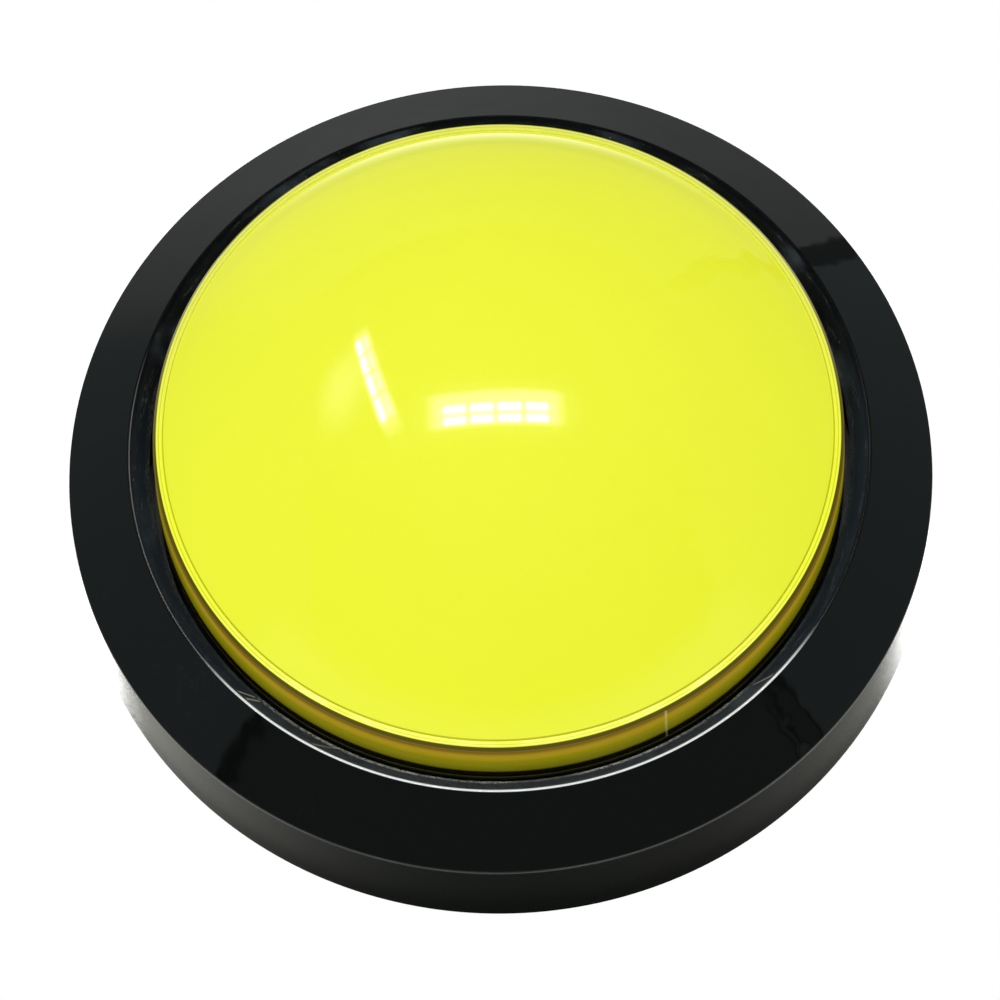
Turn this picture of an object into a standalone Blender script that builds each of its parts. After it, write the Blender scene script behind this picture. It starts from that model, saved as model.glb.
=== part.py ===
"""Illuminated dome push button for a panel, 100 mm across, as a quiz buzzer uses it.

The button's axis is Z. The panel face is the flat underside of the bezel. Every height in this file
is measured from it, and all pieces hang on an empty that lifts the panel face so that the tips of
the terminals stand at Z = 0. Units are metres.
"""

import math

import bmesh
import bpy

COLLECTION = "dome_push_button"
GAP = 0.0003                    # clearance left between neighbouring pieces
OVERLAP = 0.0010                # how far joined shapes run into each other
OVERCUT = 0.0020                # how far cutters reach past the piece
SMOOTH_ANGLE = math.radians(35)

PANEL_HEIGHT = 0.0700           # panel face above the terminals' tips

# bezel
BEZEL_FOOT_RADIUS = 0.0504
BEZEL_EDGE_RADIUS = 0.0500
BEZEL_EDGE_HEIGHT = 0.0132
CREST_RADIUS = 0.0424
CREST_HEIGHT = 0.0191
WELL_RADIUS = 0.0403
WELL_TOP = 0.0163               # lower edge of the inner chamfer
WELL_BOTTOM = 0.0101
BEZEL_WALL = 0.0021

# base and stem
PLATE_RADIUS = 0.0479
PLATE_TOP = 0.0026
STEM_RADIUS = 0.0120            # M24 thread, 3 mm pitch
STEM_BORE = 0.0093
STEM_END = -0.0360
POST_CIRCLE = 0.0280
POST_RADIUS = 0.0015
POST_TOP = 0.0120
GROOVE_BOTTOM = -0.0332         # the bayonet grooves of the holder
GROOVE_TOP = -0.0306
GROOVE_DEPTH = 0.0014
TWIST = math.radians(45)

# dome
DOME_RADIUS = 0.0502            # sphere of the cap's outer surface
DOME_TOP = 0.0410
DOME_EDGE = 0.0381              # where the sphere meets the rim's small ledge
CAP_WALL = 0.0016
SKIRT_RADIUS = 0.0397
SKIRT_BOTTOM = 0.0159
SHELF_HEIGHT = 0.0183           # the plunger's shelf, which the diffuser stands on
DIFFUSER_WALL = 0.0012
DIFFUSER_RADIUS = 0.0375

# plunger
FLANGE_RADIUS = 0.0416
FLANGE_BOTTOM = 0.0079
FLANGE_TOP = 0.0098
POCKET_RADIUS = 0.0150          # the spring's pocket
POCKET_TOP = 0.0159
TUBE_RADIUS = 0.0090
TUBE_BORE = 0.0072
TUBE_END = -0.0390
SPRING_RADIUS = 0.0129
SPRING_WIRE = 0.0010
SPRING_TURNS = 6.5

# fasteners
SCREW_CIRCLE = 0.0447
SCREW_RADIUS = 0.0010
SCREW_HOLE = SCREW_RADIUS + GAP
SCREW_TIP = 0.6                 # the tip's radius against the shank's
SCREW_HEAD_RADIUS = 0.0022
WASHER_RADIUS = 0.0190
WASHER_TOP = -0.0060
WASHER_THICKNESS = 0.0015
NUT_ACROSS_FLATS = 0.0340
NUT_HEIGHT = 0.0082

# lamp and switch holder
COLLAR_RADIUS = 0.0146
COLLAR_TOP = -0.0295
COLLAR_WINDOW = -0.0420         # the collar ends here over the switch
HOLDER_FLOOR = -0.0456
FLOOR_THICKNESS = 0.0020
LAMP_POST_RADIUS = 0.0062
LAMP_POST_TOP = -0.0080
BRACKET_FACE = 0.0032
BRACKET_BACK = 0.0006
BRACKET_BOTTOM = -0.0615
CHANNEL = (0.0020, 0.0051)      # half width in X and half length in Y

# microswitch
SWITCH_X = 0.00865              # middle of the switch, under the plunger's tube
SWITCH_THICKNESS = 0.0103
COVER_THICKNESS = 0.0011
SWITCH_HALF_LENGTH = 0.0139
SWITCH_TOP = -0.0460
SWITCH_HEIGHT = 0.0159
SWITCH_SCREW_Y = 0.0111
SWITCH_SCREW_Z = -0.0590
SWITCH_SCREW_RADIUS = 0.00135
ACTUATOR_Y = -0.0060
ACTUATOR_RADIUS = 0.0014
ACTUATOR_TOP = -0.0436
POCKET_DEPTH = 0.0055
LEVER_Y = -0.0110               # pivot axis of the lever, along X
LEVER_Z = -0.0446
LEVER_REACH = 0.0160            # from pivot to tip, along Y
LEVER_WIDTH = 0.0042
LEVER_THICKNESS = 0.0005
LEVER_ANGLE = math.radians(17.25)
LEVER_EYE = 0.0011
LEVER_PIN = 0.0004
TERMINAL_SPACING = 0.0064
TERMINAL_HALF_WIDTH = 0.0024    # 4.8 mm blades
TERMINAL_THICKNESS = 0.0008


# ---- scene and materials ----

def clear_scene():
    """Remove every object and collection."""
    for obj in list(bpy.data.objects):
        bpy.data.objects.remove(obj, do_unlink=True)
    for collection in list(bpy.data.collections):
        bpy.data.collections.remove(collection)


def make_collection(name):
    """Return a new collection linked to the scene."""
    collection = bpy.data.collections.new(name)
    bpy.context.scene.collection.children.link(collection)
    return collection


def make_material(name, color, roughness, metallic=0.0, transmission=0.0):
    """Return a Principled material."""
    material = bpy.data.materials.new(name)
    material.use_nodes = True
    shader = material.node_tree.nodes["Principled BSDF"]
    shader.inputs["Base Color"].default_value = (*color, 1.0)
    shader.inputs["Roughness"].default_value = roughness
    shader.inputs["Metallic"].default_value = metallic
    shader.inputs["Transmission Weight"].default_value = transmission
    material.diffuse_color = (*color, 1.0)
    return material


# ---- shape helpers ----

def add_piece(name, mesh, material, parent, collection):
    """Add a mesh to the model as a named piece."""
    if material is not None and not mesh.materials:
        mesh.materials.append(material)
    piece = bpy.data.objects.new(name, mesh)
    collection.objects.link(piece)
    piece.parent = parent
    return piece


def turned_mesh(name, profile, closed):
    """Return an outline to turn, from (radius, height) points that run down its outer side."""
    count = len(profile)
    edges = [(i, i + 1) for i in range(count - 1)]
    if closed:
        edges.append((count - 1, 0))
    mesh = bpy.data.meshes.new(name)
    mesh.from_pydata([(radius, 0.0, height) for radius, height in profile], edges, [])
    return mesh


def add_screw(piece, segments):
    """Turn the piece's profile about Z."""
    screw = piece.modifiers.new("turn", "SCREW")
    screw.axis = "Z"
    screw.steps = segments
    screw.render_steps = segments
    screw.use_merge_vertices = True
    screw.merge_threshold = 0.00001
    screw.use_smooth_shade = True


def bake(piece):
    """Apply the modifiers, then shade the round faces smooth and keep the corners sharp."""
    graph = bpy.context.evaluated_depsgraph_get()
    mesh = bpy.data.meshes.new_from_object(piece.evaluated_get(graph))
    mesh.name = piece.name
    piece.modifiers.clear()
    piece.data = mesh
    mesh.shade_smooth()
    mesh.set_sharp_from_angle(angle=SMOOTH_ANGLE)
    return piece


def box_mesh(name, low, high):
    """Return a box between two corners."""
    work = bmesh.new()
    bmesh.ops.create_cube(work, size=1.0)
    for vert in work.verts:
        for axis in range(3):
            middle = (low[axis] + high[axis]) / 2
            vert.co[axis] = middle + vert.co[axis] * (high[axis] - low[axis])
    mesh = bpy.data.meshes.new(name)
    work.to_mesh(mesh)
    work.free()
    return mesh


def rod_mesh(name, radius, bottom, top, segments):
    """Return an upright cylinder about Z."""
    work = bmesh.new()
    bmesh.ops.create_cone(
        work, cap_ends=True, segments=segments, radius1=radius, radius2=radius, depth=top - bottom
    )
    bmesh.ops.translate(work, verts=work.verts, vec=(0.0, 0.0, (top + bottom) / 2))
    mesh = bpy.data.meshes.new(name)
    work.to_mesh(mesh)
    work.free()
    return mesh


def sector_mesh(name, inner, outer, bottom, top, start, end):
    """Return a rectangle swept round part of a circle, between two angles."""
    steps = max(3, round(abs(end - start) / math.radians(7.5)))
    corners = [(inner, bottom), (outer, bottom), (outer, top), (inner, top)]
    work = bmesh.new()
    verts = [
        work.verts.new((radius * math.cos(start), radius * math.sin(start), height))
        for radius, height in corners
    ]
    face = work.faces.new(verts)
    bmesh.ops.spin(
        work,
        geom=[face, *face.edges, *face.verts],
        cent=(0.0, 0.0, 0.0),
        axis=(0.0, 0.0, 1.0),
        angle=end - start,
        steps=steps,
    )
    open_end = [edge for edge in work.edges if edge.is_boundary]
    bmesh.ops.holes_fill(work, edges=open_end)
    bmesh.ops.recalc_face_normals(work, faces=work.faces)
    mesh = bpy.data.meshes.new(name)
    work.to_mesh(mesh)
    work.free()
    return mesh


def arc(radius, center_height, start_radius, end_radius, steps):
    """Return points of a circle about a centre on the axis, evenly spaced by angle."""
    first = math.asin(start_radius / radius)
    last = math.asin(end_radius / radius)
    points = []
    for i in range(steps + 1):
        angle = first + (last - first) * i / steps
        points.append((radius * math.sin(angle), center_height + radius * math.cos(angle)))
    return points


def circle_places(radius, count, start=0.0):
    """Return (x, y, angle) of evenly spaced places on a circle."""
    places = []
    for i in range(count):
        angle = start + math.tau * i / count
        places.append((radius * math.cos(angle), radius * math.sin(angle), angle))
    return places


class Builder:
    """Adds pieces to the model, and cutters to their own hidden collection."""

    def __init__(self):
        self.parts = make_collection(COLLECTION)
        self.cutters = make_collection(COLLECTION + "_cutters")
        self.panel = self.empty("panel_plane", (0.0, 0.0, PANEL_HEIGHT), None)

    def empty(self, name, location, parent):
        """Add an empty that carries other pieces."""
        empty = bpy.data.objects.new(name, None)
        empty.empty_display_size = 0.01
        empty.location = location
        empty.parent = parent
        self.parts.objects.link(empty)
        return empty

    def turned(self, name, profile, segments, material, closed=True):
        """Add a turned piece."""
        piece = add_piece(name, turned_mesh(name, profile, closed), material, self.panel, self.parts)
        add_screw(piece, segments)
        return piece

    def solid(self, name, mesh, material, parent=None):
        """Add a piece from a finished mesh."""
        return add_piece(name, mesh, material, parent or self.panel, self.parts)

    def tool(self, piece, mesh, operation, location=(0.0, 0.0, 0.0), rotation=(0.0, 0.0, 0.0),
             solver="EXACT"):
        """Join a hidden shape to a piece, or cut the piece with it."""
        tool = add_piece(mesh.name, mesh, None, self.panel, self.cutters)
        tool.location = location
        tool.rotation_euler = rotation
        tool.hide_render = True
        tool.display_type = "WIRE"
        modifier = piece.modifiers.new(mesh.name, "BOOLEAN")
        modifier.operation = operation
        modifier.solver = solver
        modifier.object = tool

    def join(self, piece, mesh, **placing):
        """Unite a piece with a shape."""
        self.tool(piece, mesh, "UNION", **placing)

    def cut(self, piece, mesh, **placing):
        """Cut a shape out of a piece."""
        self.tool(piece, mesh, "DIFFERENCE", **placing)

    def finish(self):
        """Bake the pieces and hide the cutters."""
        for piece in self.parts.objects:
            if piece.type == "MESH" and piece.modifiers:
                bake(piece)
        for tool in self.cutters.objects:
            tool.hide_set(True)


# ---- housing ----

def make_bezel(build, material):
    """The cover: side wall, sloping top, crest, inner chamfer, well wall and screw bosses."""
    slope = (CREST_HEIGHT - BEZEL_EDGE_HEIGHT) / (BEZEL_EDGE_RADIUS - CREST_RADIUS)
    drop = BEZEL_WALL * math.hypot(1.0, slope)
    edge = 0.00035                                  # chamfer of the outer top edge
    draft = 0.0003
    well_wall = 0.0020
    well_outside = WELL_RADIUS + well_wall
    wall_inside = BEZEL_FOOT_RADIUS - BEZEL_WALL
    wall_inside_top = wall_inside - draft

    def under_cone(radius):
        return CREST_HEIGHT - drop - slope * (radius - CREST_RADIUS)

    profile = [
        (CREST_RADIUS, CREST_HEIGHT),
        (BEZEL_EDGE_RADIUS - edge, BEZEL_EDGE_HEIGHT + slope * edge),
        (BEZEL_EDGE_RADIUS, BEZEL_EDGE_HEIGHT - edge),
        (BEZEL_FOOT_RADIUS, 0.0),
        (wall_inside, 0.0),
        (wall_inside_top, under_cone(wall_inside_top)),
        (well_outside, under_cone(well_outside)),
        (well_outside, WELL_BOTTOM),
        (WELL_RADIUS, WELL_BOTTOM),
        (WELL_RADIUS, WELL_TOP),
    ]
    bezel = build.turned("bezel_ring", profile, 64, material)
    boss_radius = 0.0026
    boss_bottom = PLATE_TOP + GAP
    boss_top = 0.0148                               # inside the sloping top's wall
    hole_top = 0.0115
    rib_reach = 0.0048                              # from the boss's axis into the side wall
    rib_half = 0.0007
    rib_top = 0.0118
    for index, (x, y, angle) in enumerate(circle_places(SCREW_CIRCLE, 4, math.radians(45))):
        boss = rod_mesh(f"boss_{index}", boss_radius, boss_bottom, boss_top, 12)
        build.join(bezel, boss, location=(x, y, 0.0))
        rib = box_mesh(
            f"boss_rib_{index}", (0.0, -rib_half, boss_bottom), (rib_reach, rib_half, rib_top)
        )
        build.join(bezel, rib, location=(x, y, 0.0), rotation=(0.0, 0.0, angle))
        hole = rod_mesh(f"boss_hole_{index}", SCREW_HOLE, -OVERCUT, hole_top, 12)
        build.cut(bezel, hole, location=(x, y, 0.0))


def make_base(build, material):
    """The housing's floor with its stem, spring guide, guide posts and bayonet grooves."""
    guide_radius = 0.0113
    guide_top = 0.0076
    recess = 0.0010
    recess_outside = 0.0410
    recess_inside = 0.0170
    stem_chamfer = 0.0008
    profile = [
        (PLATE_RADIUS, PLATE_TOP),
        (PLATE_RADIUS, 0.0),
        (recess_outside, 0.0),
        (recess_outside, recess),
        (recess_inside, recess),
        (recess_inside, 0.0),
        (STEM_RADIUS, 0.0),
        (STEM_RADIUS, STEM_END + stem_chamfer),
        (STEM_RADIUS - stem_chamfer, STEM_END),
        (STEM_BORE, STEM_END),
        (STEM_BORE, guide_top),
        (guide_radius, guide_top),
        (guide_radius, PLATE_TOP),
    ]
    base = build.turned("base_stem", profile, 48, material)
    rib_half = 0.0008
    rib_bottom = 0.00015                            # just inside the plate's underside
    rib_low = (recess_inside - OVERLAP, -rib_half, rib_bottom)
    rib_high = (recess_outside + OVERLAP, rib_half, recess + 0.0003)
    for index, (_, _, angle) in enumerate(circle_places(1.0, 8, math.radians(22.5))):
        rib = box_mesh(f"base_rib_{index}", rib_low, rib_high)
        build.join(base, rib, rotation=(0.0, 0.0, angle))
    for index, (x, y, _) in enumerate(circle_places(POST_CIRCLE, 3, math.radians(90))):
        post = rod_mesh(f"guide_post_{index}", POST_RADIUS, PLATE_TOP - OVERLAP, POST_TOP, 12)
        build.join(base, post, location=(x, y, 0.0))
    seat_depth = 0.0015
    for index, (x, y, _) in enumerate(circle_places(SCREW_CIRCLE, 4, math.radians(45))):
        hole = rod_mesh(f"screw_hole_{index}", SCREW_HOLE, -OVERCUT, PLATE_TOP + OVERCUT, 12)
        build.cut(base, hole, location=(x, y, 0.0))
        seat = rod_mesh(f"screw_seat_{index}", SCREW_HEAD_RADIUS + GAP, -OVERCUT, seat_depth, 16)
        build.cut(base, seat, location=(x, y, 0.0))
    margin = math.radians(10.5)                     # the groove's length beyond the lug's middle
    for index, start in enumerate((0.0, math.pi)):
        inner = STEM_RADIUS - GROOVE_DEPTH
        outer = STEM_RADIUS + OVERCUT
        locked = start - margin
        opened = start + TWIST + margin
        groove = sector_mesh(
            f"groove_{index}", inner, outer, GROOVE_BOTTOM, GROOVE_TOP, locked, opened
        )
        build.cut(base, groove, solver="MANIFOLD")
        entry = sector_mesh(
            f"entry_{index}", inner, outer, STEM_END - OVERCUT, GROOVE_TOP - 0.0001,
            opened - 2 * margin, opened,
        )
        build.cut(base, entry, solver="MANIFOLD")


def make_base_screws(build, material):
    """Four pan-head screws that hold the base in the bezel."""
    head_bottom = 0.0003
    head_top = 0.0012
    tip = 0.0105
    taper = 0.0007
    edge = 0.0004
    profile = [
        (0.0, tip),
        (SCREW_RADIUS * SCREW_TIP, tip),
        (SCREW_RADIUS, tip - taper),
        (SCREW_RADIUS, head_top),
        (SCREW_HEAD_RADIUS, head_top),
        (SCREW_HEAD_RADIUS, head_bottom + edge),
        (SCREW_HEAD_RADIUS - edge, head_bottom),
        (0.0, head_bottom),
    ]
    first = None
    for index, (x, y, _) in enumerate(circle_places(SCREW_CIRCLE, 4, math.radians(45)), start=1):
        name = f"base_screw_{index}"
        if first is None:
            first = bake(build.turned(name, profile, 12, material, closed=False))
            screw = first
        else:
            screw = build.solid(name, first.data, material)
        screw.location = (x, y, 0.0)


def make_spring(build, material):
    """The compression spring between the base and the plunger."""
    seat_gap = 0.0002
    bottom = PLATE_TOP + seat_gap + SPRING_WIRE / 2
    top = POCKET_TOP - seat_gap - SPRING_WIRE / 2
    per_turn = 16
    count = int(SPRING_TURNS * per_turn) + 1
    flat_turns = 1.0                                # each end lies flat for about a turn
    flat_rise = SPRING_WIRE * 1.15                  # per turn there, so that the coils don't touch
    curve = bpy.data.curves.new("return_spring", "CURVE")
    curve.dimensions = "3D"
    curve.bevel_depth = SPRING_WIRE / 2
    curve.bevel_resolution = 1
    curve.use_fill_caps = True
    spline = curve.splines.new("POLY")
    spline.points.add(count - 1)
    free_turns = SPRING_TURNS - 2 * flat_turns
    rise = (top - bottom - 2 * flat_rise) / free_turns
    for i in range(count):
        turns = i / per_turn
        height = bottom + flat_rise * min(turns, flat_turns)
        height += rise * min(max(turns - flat_turns, 0.0), free_turns)
        height += flat_rise * max(turns - flat_turns - free_turns, 0.0)
        angle = math.tau * turns
        x = SPRING_RADIUS * math.cos(angle)
        y = SPRING_RADIUS * math.sin(angle)
        spline.points[i].co = (x, y, height, 1.0)
    curve.materials.append(material)
    spring = bpy.data.objects.new("return_spring", curve)
    build.parts.objects.link(spring)
    spring.parent = build.panel


# ---- plunger ----

def make_dome_cap(build, material):
    """Transparent dome with a small ledge at the rim and a short skirt."""
    center = DOME_TOP - DOME_RADIUS
    inner = DOME_RADIUS - CAP_WALL
    skirt_inside = 0.0379
    ledge_end = (0.0389, 0.0234)
    skirt_start = (0.0393, 0.0228)
    outside = arc(DOME_RADIUS, center, 0.0, DOME_EDGE, 6)
    rim = [
        ledge_end,
        skirt_start,
        (SKIRT_RADIUS, SKIRT_BOTTOM),
        (skirt_inside, SKIRT_BOTTOM),
    ]
    inside = arc(inner, center, skirt_inside, 0.0, 6)
    build.turned("dome_cap", outside + rim + inside, 64, material, closed=False)


def make_diffuser(build, material):
    """White dome that follows the cap from inside, down to the rim."""
    center = DOME_TOP - DOME_RADIUS
    outer = DOME_RADIUS - CAP_WALL - GAP
    inner = outer - DIFFUSER_WALL
    foot_width = 0.0011
    skirt_inside = DIFFUSER_RADIUS - foot_width
    outside = arc(outer, center, 0.0, DIFFUSER_RADIUS, 6)
    foot = SHELF_HEIGHT + GAP
    skirt = [(DIFFUSER_RADIUS, foot), (skirt_inside, foot)]
    inside = arc(inner, center, skirt_inside, 0.0, 6)
    build.turned("diffuser", outside + skirt + inside, 48, material, closed=False)


def make_plunger(build, material):
    """Carrier of the dome: rim with spigot, flange, spring pocket and guide tube."""
    rim_top = SKIRT_BOTTOM - GAP
    shelf_radius = DIFFUSER_RADIUS + 0.0001
    spigot_outside = 0.0361
    spigot_inside = 0.0348
    spigot_top = 0.0204
    rim_inside = 0.0377
    slope_bottom = 0.0125                           # inner slope between rim and spigot
    slope_top = 0.0143
    pocket_outside = POCKET_RADIUS + 0.0018
    roof = POCKET_TOP + 0.0019
    profile = [
        (SKIRT_RADIUS, rim_top),
        (SKIRT_RADIUS, FLANGE_TOP),
        (FLANGE_RADIUS, FLANGE_TOP),
        (FLANGE_RADIUS, FLANGE_BOTTOM),
        (POCKET_RADIUS, FLANGE_BOTTOM),
        (POCKET_RADIUS, POCKET_TOP),
        (TUBE_RADIUS, POCKET_TOP),
        (TUBE_RADIUS, TUBE_END),
        (TUBE_BORE, TUBE_END),
        (TUBE_BORE, roof),
        (pocket_outside, roof),
        (pocket_outside, FLANGE_TOP),
        (rim_inside, FLANGE_TOP),
        (rim_inside, slope_bottom),
        (spigot_inside, slope_top),
        (spigot_inside, spigot_top),
        (spigot_outside, spigot_top),
        (spigot_outside, SHELF_HEIGHT),
        (shelf_radius, SHELF_HEIGHT),
        (shelf_radius, rim_top),
    ]
    plunger = build.turned("plunger", profile, 48, material)
    for index, (x, y, _) in enumerate(circle_places(POST_CIRCLE, 3, math.radians(90))):
        hole = rod_mesh(
            f"post_hole_{index}", POST_RADIUS + GAP, FLANGE_BOTTOM - OVERCUT, FLANGE_TOP + OVERCUT, 12
        )
        build.cut(plunger, hole, location=(x, y, 0.0))


# ---- nut and washer ----

def make_clamp_washer(build, material):
    """Flat washer that the nut presses on the panel."""
    bottom = WASHER_TOP - WASHER_THICKNESS
    bore = STEM_RADIUS + GAP
    profile = [
        (WASHER_RADIUS, WASHER_TOP),
        (WASHER_RADIUS, bottom),
        (bore, bottom),
        (bore, WASHER_TOP),
    ]
    build.turned("clamp_washer", profile, 32, material)


def make_nut(build, material):
    """Hexagon nut with a plain bore that clears the thread."""
    top = WASHER_TOP - WASHER_THICKNESS - GAP
    bottom = top - NUT_HEIGHT
    corner = NUT_ACROSS_FLATS / 2 / math.cos(math.radians(30))
    nut = build.solid("mounting_nut", rod_mesh("mounting_nut", corner, bottom, top, 6), material)
    bevel = nut.modifiers.new("edges", "BEVEL")
    bevel.width = 0.0006
    bevel.segments = 1
    bore = rod_mesh("nut_bore", STEM_RADIUS + GAP, bottom - OVERCUT, top + OVERCUT, 32)
    build.cut(nut, bore)


# ---- lamp ----

def make_lamp_holder(build, material):
    """Twist-lock holder: collar with two lugs, floor, lamp post and switch bracket."""
    bore = STEM_RADIUS + 0.0004
    floor_top = HOLDER_FLOOR + FLOOR_THICKNESS
    far = 0.03                                      # well outside the collar
    profile = [
        (0.0, LAMP_POST_TOP),
        (LAMP_POST_RADIUS, LAMP_POST_TOP),
        (LAMP_POST_RADIUS, floor_top),
        (bore, floor_top),
        (bore, COLLAR_TOP),
        (COLLAR_RADIUS, COLLAR_TOP),
        (COLLAR_RADIUS, HOLDER_FLOOR),
        (0.0, HOLDER_FLOOR),
    ]
    holder = build.turned("lamp_holder", profile, 32, material, closed=False)
    lug_half = math.radians(8.5)
    for index, middle in enumerate((0.0, math.pi)):
        lug = sector_mesh(
            f"lug_{index}", STEM_RADIUS - GROOVE_DEPTH + GAP, bore + 0.0012,
            GROOVE_BOTTOM + GAP, GROOVE_TOP - GAP, middle - lug_half, middle + lug_half,
        )
        build.join(holder, lug)
    window = box_mesh(
        "switch_window", (BRACKET_FACE + 0.0002, -far, HOLDER_FLOOR - OVERCUT),
        (far, far, COLLAR_WINDOW),
    )
    build.cut(holder, window)
    block_back = -0.0055
    block_half = 0.0090
    block = box_mesh(
        "socket_block", (block_back, -block_half, BRACKET_BOTTOM + 0.0025),
        (BRACKET_FACE, block_half, HOLDER_FLOOR + OVERLAP),
    )
    build.join(holder, block)
    bracket = box_mesh(
        "switch_bracket", (BRACKET_BACK, -SWITCH_HALF_LENGTH, BRACKET_BOTTOM),
        (BRACKET_FACE - 0.0001, SWITCH_HALF_LENGTH, HOLDER_FLOOR + 0.0008),
    )
    build.join(holder, bracket)
    channel = box_mesh(
        "contact_channel", (-CHANNEL[0], -CHANNEL[1], BRACKET_BOTTOM - OVERCUT),
        (CHANNEL[0], CHANNEL[1], LAMP_POST_TOP + OVERCUT),
    )
    build.cut(holder, channel)
    for index, side in enumerate((-1, 1)):
        hole = rod_mesh(
            f"bracket_hole_{index}", SWITCH_SCREW_RADIUS + GAP, -OVERCUT, BRACKET_FACE + OVERCUT, 12
        )
        build.cut(
            holder, hole, location=(0.0, side * SWITCH_SCREW_Y, SWITCH_SCREW_Z),
            rotation=(0.0, math.radians(90), 0.0),
        )


def make_lamp(build, base_material, lens_material):
    """Wedge-base lamp: moulded base and frosted lens."""
    body_radius = 0.0050
    body_height = 0.0058
    edge = 0.0003
    body_bottom = LAMP_POST_TOP + GAP
    body_top = body_bottom + body_height
    profile = [
        (0.0, body_top),
        (body_radius - edge, body_top),
        (body_radius, body_top - edge),
        (body_radius, body_bottom),
        (0.0, body_bottom),
    ]
    base = build.turned("lamp_base", profile, 20, base_material, closed=False)
    wedge_half = (0.0011, 0.0036)
    wedge_depth = 0.0090
    wedge = box_mesh(
        "lamp_wedge", (-wedge_half[0], -wedge_half[1], LAMP_POST_TOP - wedge_depth),
        (wedge_half[0], wedge_half[1], body_bottom + OVERLAP),
    )
    build.join(base, wedge)
    lens_radius = 0.0048
    lens_bottom = body_top + GAP
    shoulder = lens_bottom + body_height
    dome = arc(lens_radius, shoulder, 0.0, lens_radius, 4)
    build.turned("lamp_lens", dome + [(lens_radius, lens_bottom), (0.0, lens_bottom)], 20,
                 lens_material, closed=False)


def make_lamp_contacts(build, material):
    """Two strips that run down the post's channel and end as terminals."""
    middle = 0.00445                                # from the holder's middle plane
    thickness = 0.0005
    half_width = 0.0018
    tip = -0.0680
    hole_height = 0.0025                            # above the tip
    top = LAMP_POST_TOP - 0.0010
    for side, name in ((-1, "lamp_contact_left"), (1, "lamp_contact_right")):
        low = (-half_width, side * middle - thickness / 2, tip)
        high = (half_width, side * middle + thickness / 2, top)
        strip = build.solid(name, box_mesh(name, low, high), material)
        hole = rod_mesh(name + "_hole", 0.0008, -OVERCUT, OVERCUT, 10)
        build.cut(
            strip, hole, location=(0.0, side * middle, tip + hole_height),
            rotation=(math.radians(90), 0.0, 0.0),
        )


# ---- microswitch ----

def make_switch_case(build, case_material, cover_material):
    """Case with the actuator's pocket, terminal slots and lever ears, and its cover."""
    near = SWITCH_X - SWITCH_THICKNESS / 2
    far = SWITCH_X + SWITCH_THICKNESS / 2
    split = far - COVER_THICKNESS
    bottom = SWITCH_TOP - SWITCH_HEIGHT
    case = build.solid(
        "switch_case",
        box_mesh("switch_case", (near, -SWITCH_HALF_LENGTH, bottom),
                 (split - GAP, SWITCH_HALF_LENGTH, SWITCH_TOP)),
        case_material,
    )
    cover = build.solid(
        "switch_cover",
        box_mesh("switch_cover", (split, -SWITCH_HALF_LENGTH, bottom),
                 (far, SWITCH_HALF_LENGTH, SWITCH_TOP)),
        cover_material,
    )
    ear_thickness = 0.0007
    ear_half = 0.0012
    ear_rise = 0.0013                               # above the pivot axis
    ear_foot = SWITCH_TOP - 0.0005
    for index, side in enumerate((-1, 1)):
        start = SWITCH_X + side * (LEVER_WIDTH / 2 + GAP)
        end = start + side * ear_thickness
        ear = box_mesh(
            f"lever_ear_{index}", (min(start, end), LEVER_Y - ear_half, ear_foot),
            (max(start, end), LEVER_Y + ear_half, LEVER_Z + ear_rise),
        )
        build.join(case, ear)
    through = 0.0100                                # half the length of a cutter along X
    axle = rod_mesh("ear_hole", LEVER_PIN + GAP, -through, through, 10)
    build.cut(case, axle, location=(SWITCH_X, LEVER_Y, LEVER_Z),
              rotation=(0.0, math.radians(90), 0.0))
    pocket = rod_mesh("actuator_pocket", ACTUATOR_RADIUS + GAP, -POCKET_DEPTH, OVERCUT, 12)
    build.cut(case, pocket, location=(SWITCH_X, ACTUATOR_Y, SWITCH_TOP))
    slot_half = TERMINAL_HALF_WIDTH + GAP
    slot_thickness = TERMINAL_THICKNESS / 2 + GAP
    slot_depth = 0.0050
    for index in (-1, 0, 1):
        middle = index * TERMINAL_SPACING
        slot = box_mesh(
            f"terminal_slot_{index + 1}",
            (SWITCH_X - slot_thickness, middle - slot_half, bottom - OVERCUT),
            (SWITCH_X + slot_thickness, middle + slot_half, bottom + slot_depth),
        )
        build.cut(case, slot)
    for index, side in enumerate((-1, 1)):
        for piece, label in ((case, "case"), (cover, "cover")):
            hole = rod_mesh(
                f"{label}_screw_hole_{index}", SWITCH_SCREW_RADIUS + GAP, -through, through, 12
            )
            build.cut(
                piece, hole, location=(SWITCH_X, side * SWITCH_SCREW_Y, SWITCH_SCREW_Z),
                rotation=(0.0, math.radians(90), 0.0),
            )


def make_switch_screws(build, material):
    """Two pan-head screws through the switch into the bracket, turned about their own axis."""
    seat = SWITCH_X + SWITCH_THICKNESS / 2 + GAP
    length = seat - 0.0012
    taper = 0.0006
    head = 0.0016
    head_radius = 0.0026
    edge = 0.0005
    profile = [
        (0.0, head),
        (head_radius - edge, head),
        (head_radius, head - edge),
        (head_radius, 0.0),
        (SWITCH_SCREW_RADIUS, 0.0),
        (SWITCH_SCREW_RADIUS, taper - length),
        (SWITCH_SCREW_RADIUS * SCREW_TIP, -length),
        (0.0, -length),
    ]
    first = None
    for index, side in enumerate((-1, 1), start=1):
        name = f"switch_screw_{index}"
        if first is None:
            first = bake(build.turned(name, profile, 12, material, closed=False))
            screw = first
        else:
            screw = build.solid(name, first.data, material)
        screw.location = (seat, side * SWITCH_SCREW_Y, SWITCH_SCREW_Z)
        screw.rotation_euler = (0.0, math.radians(90), 0.0)


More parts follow.
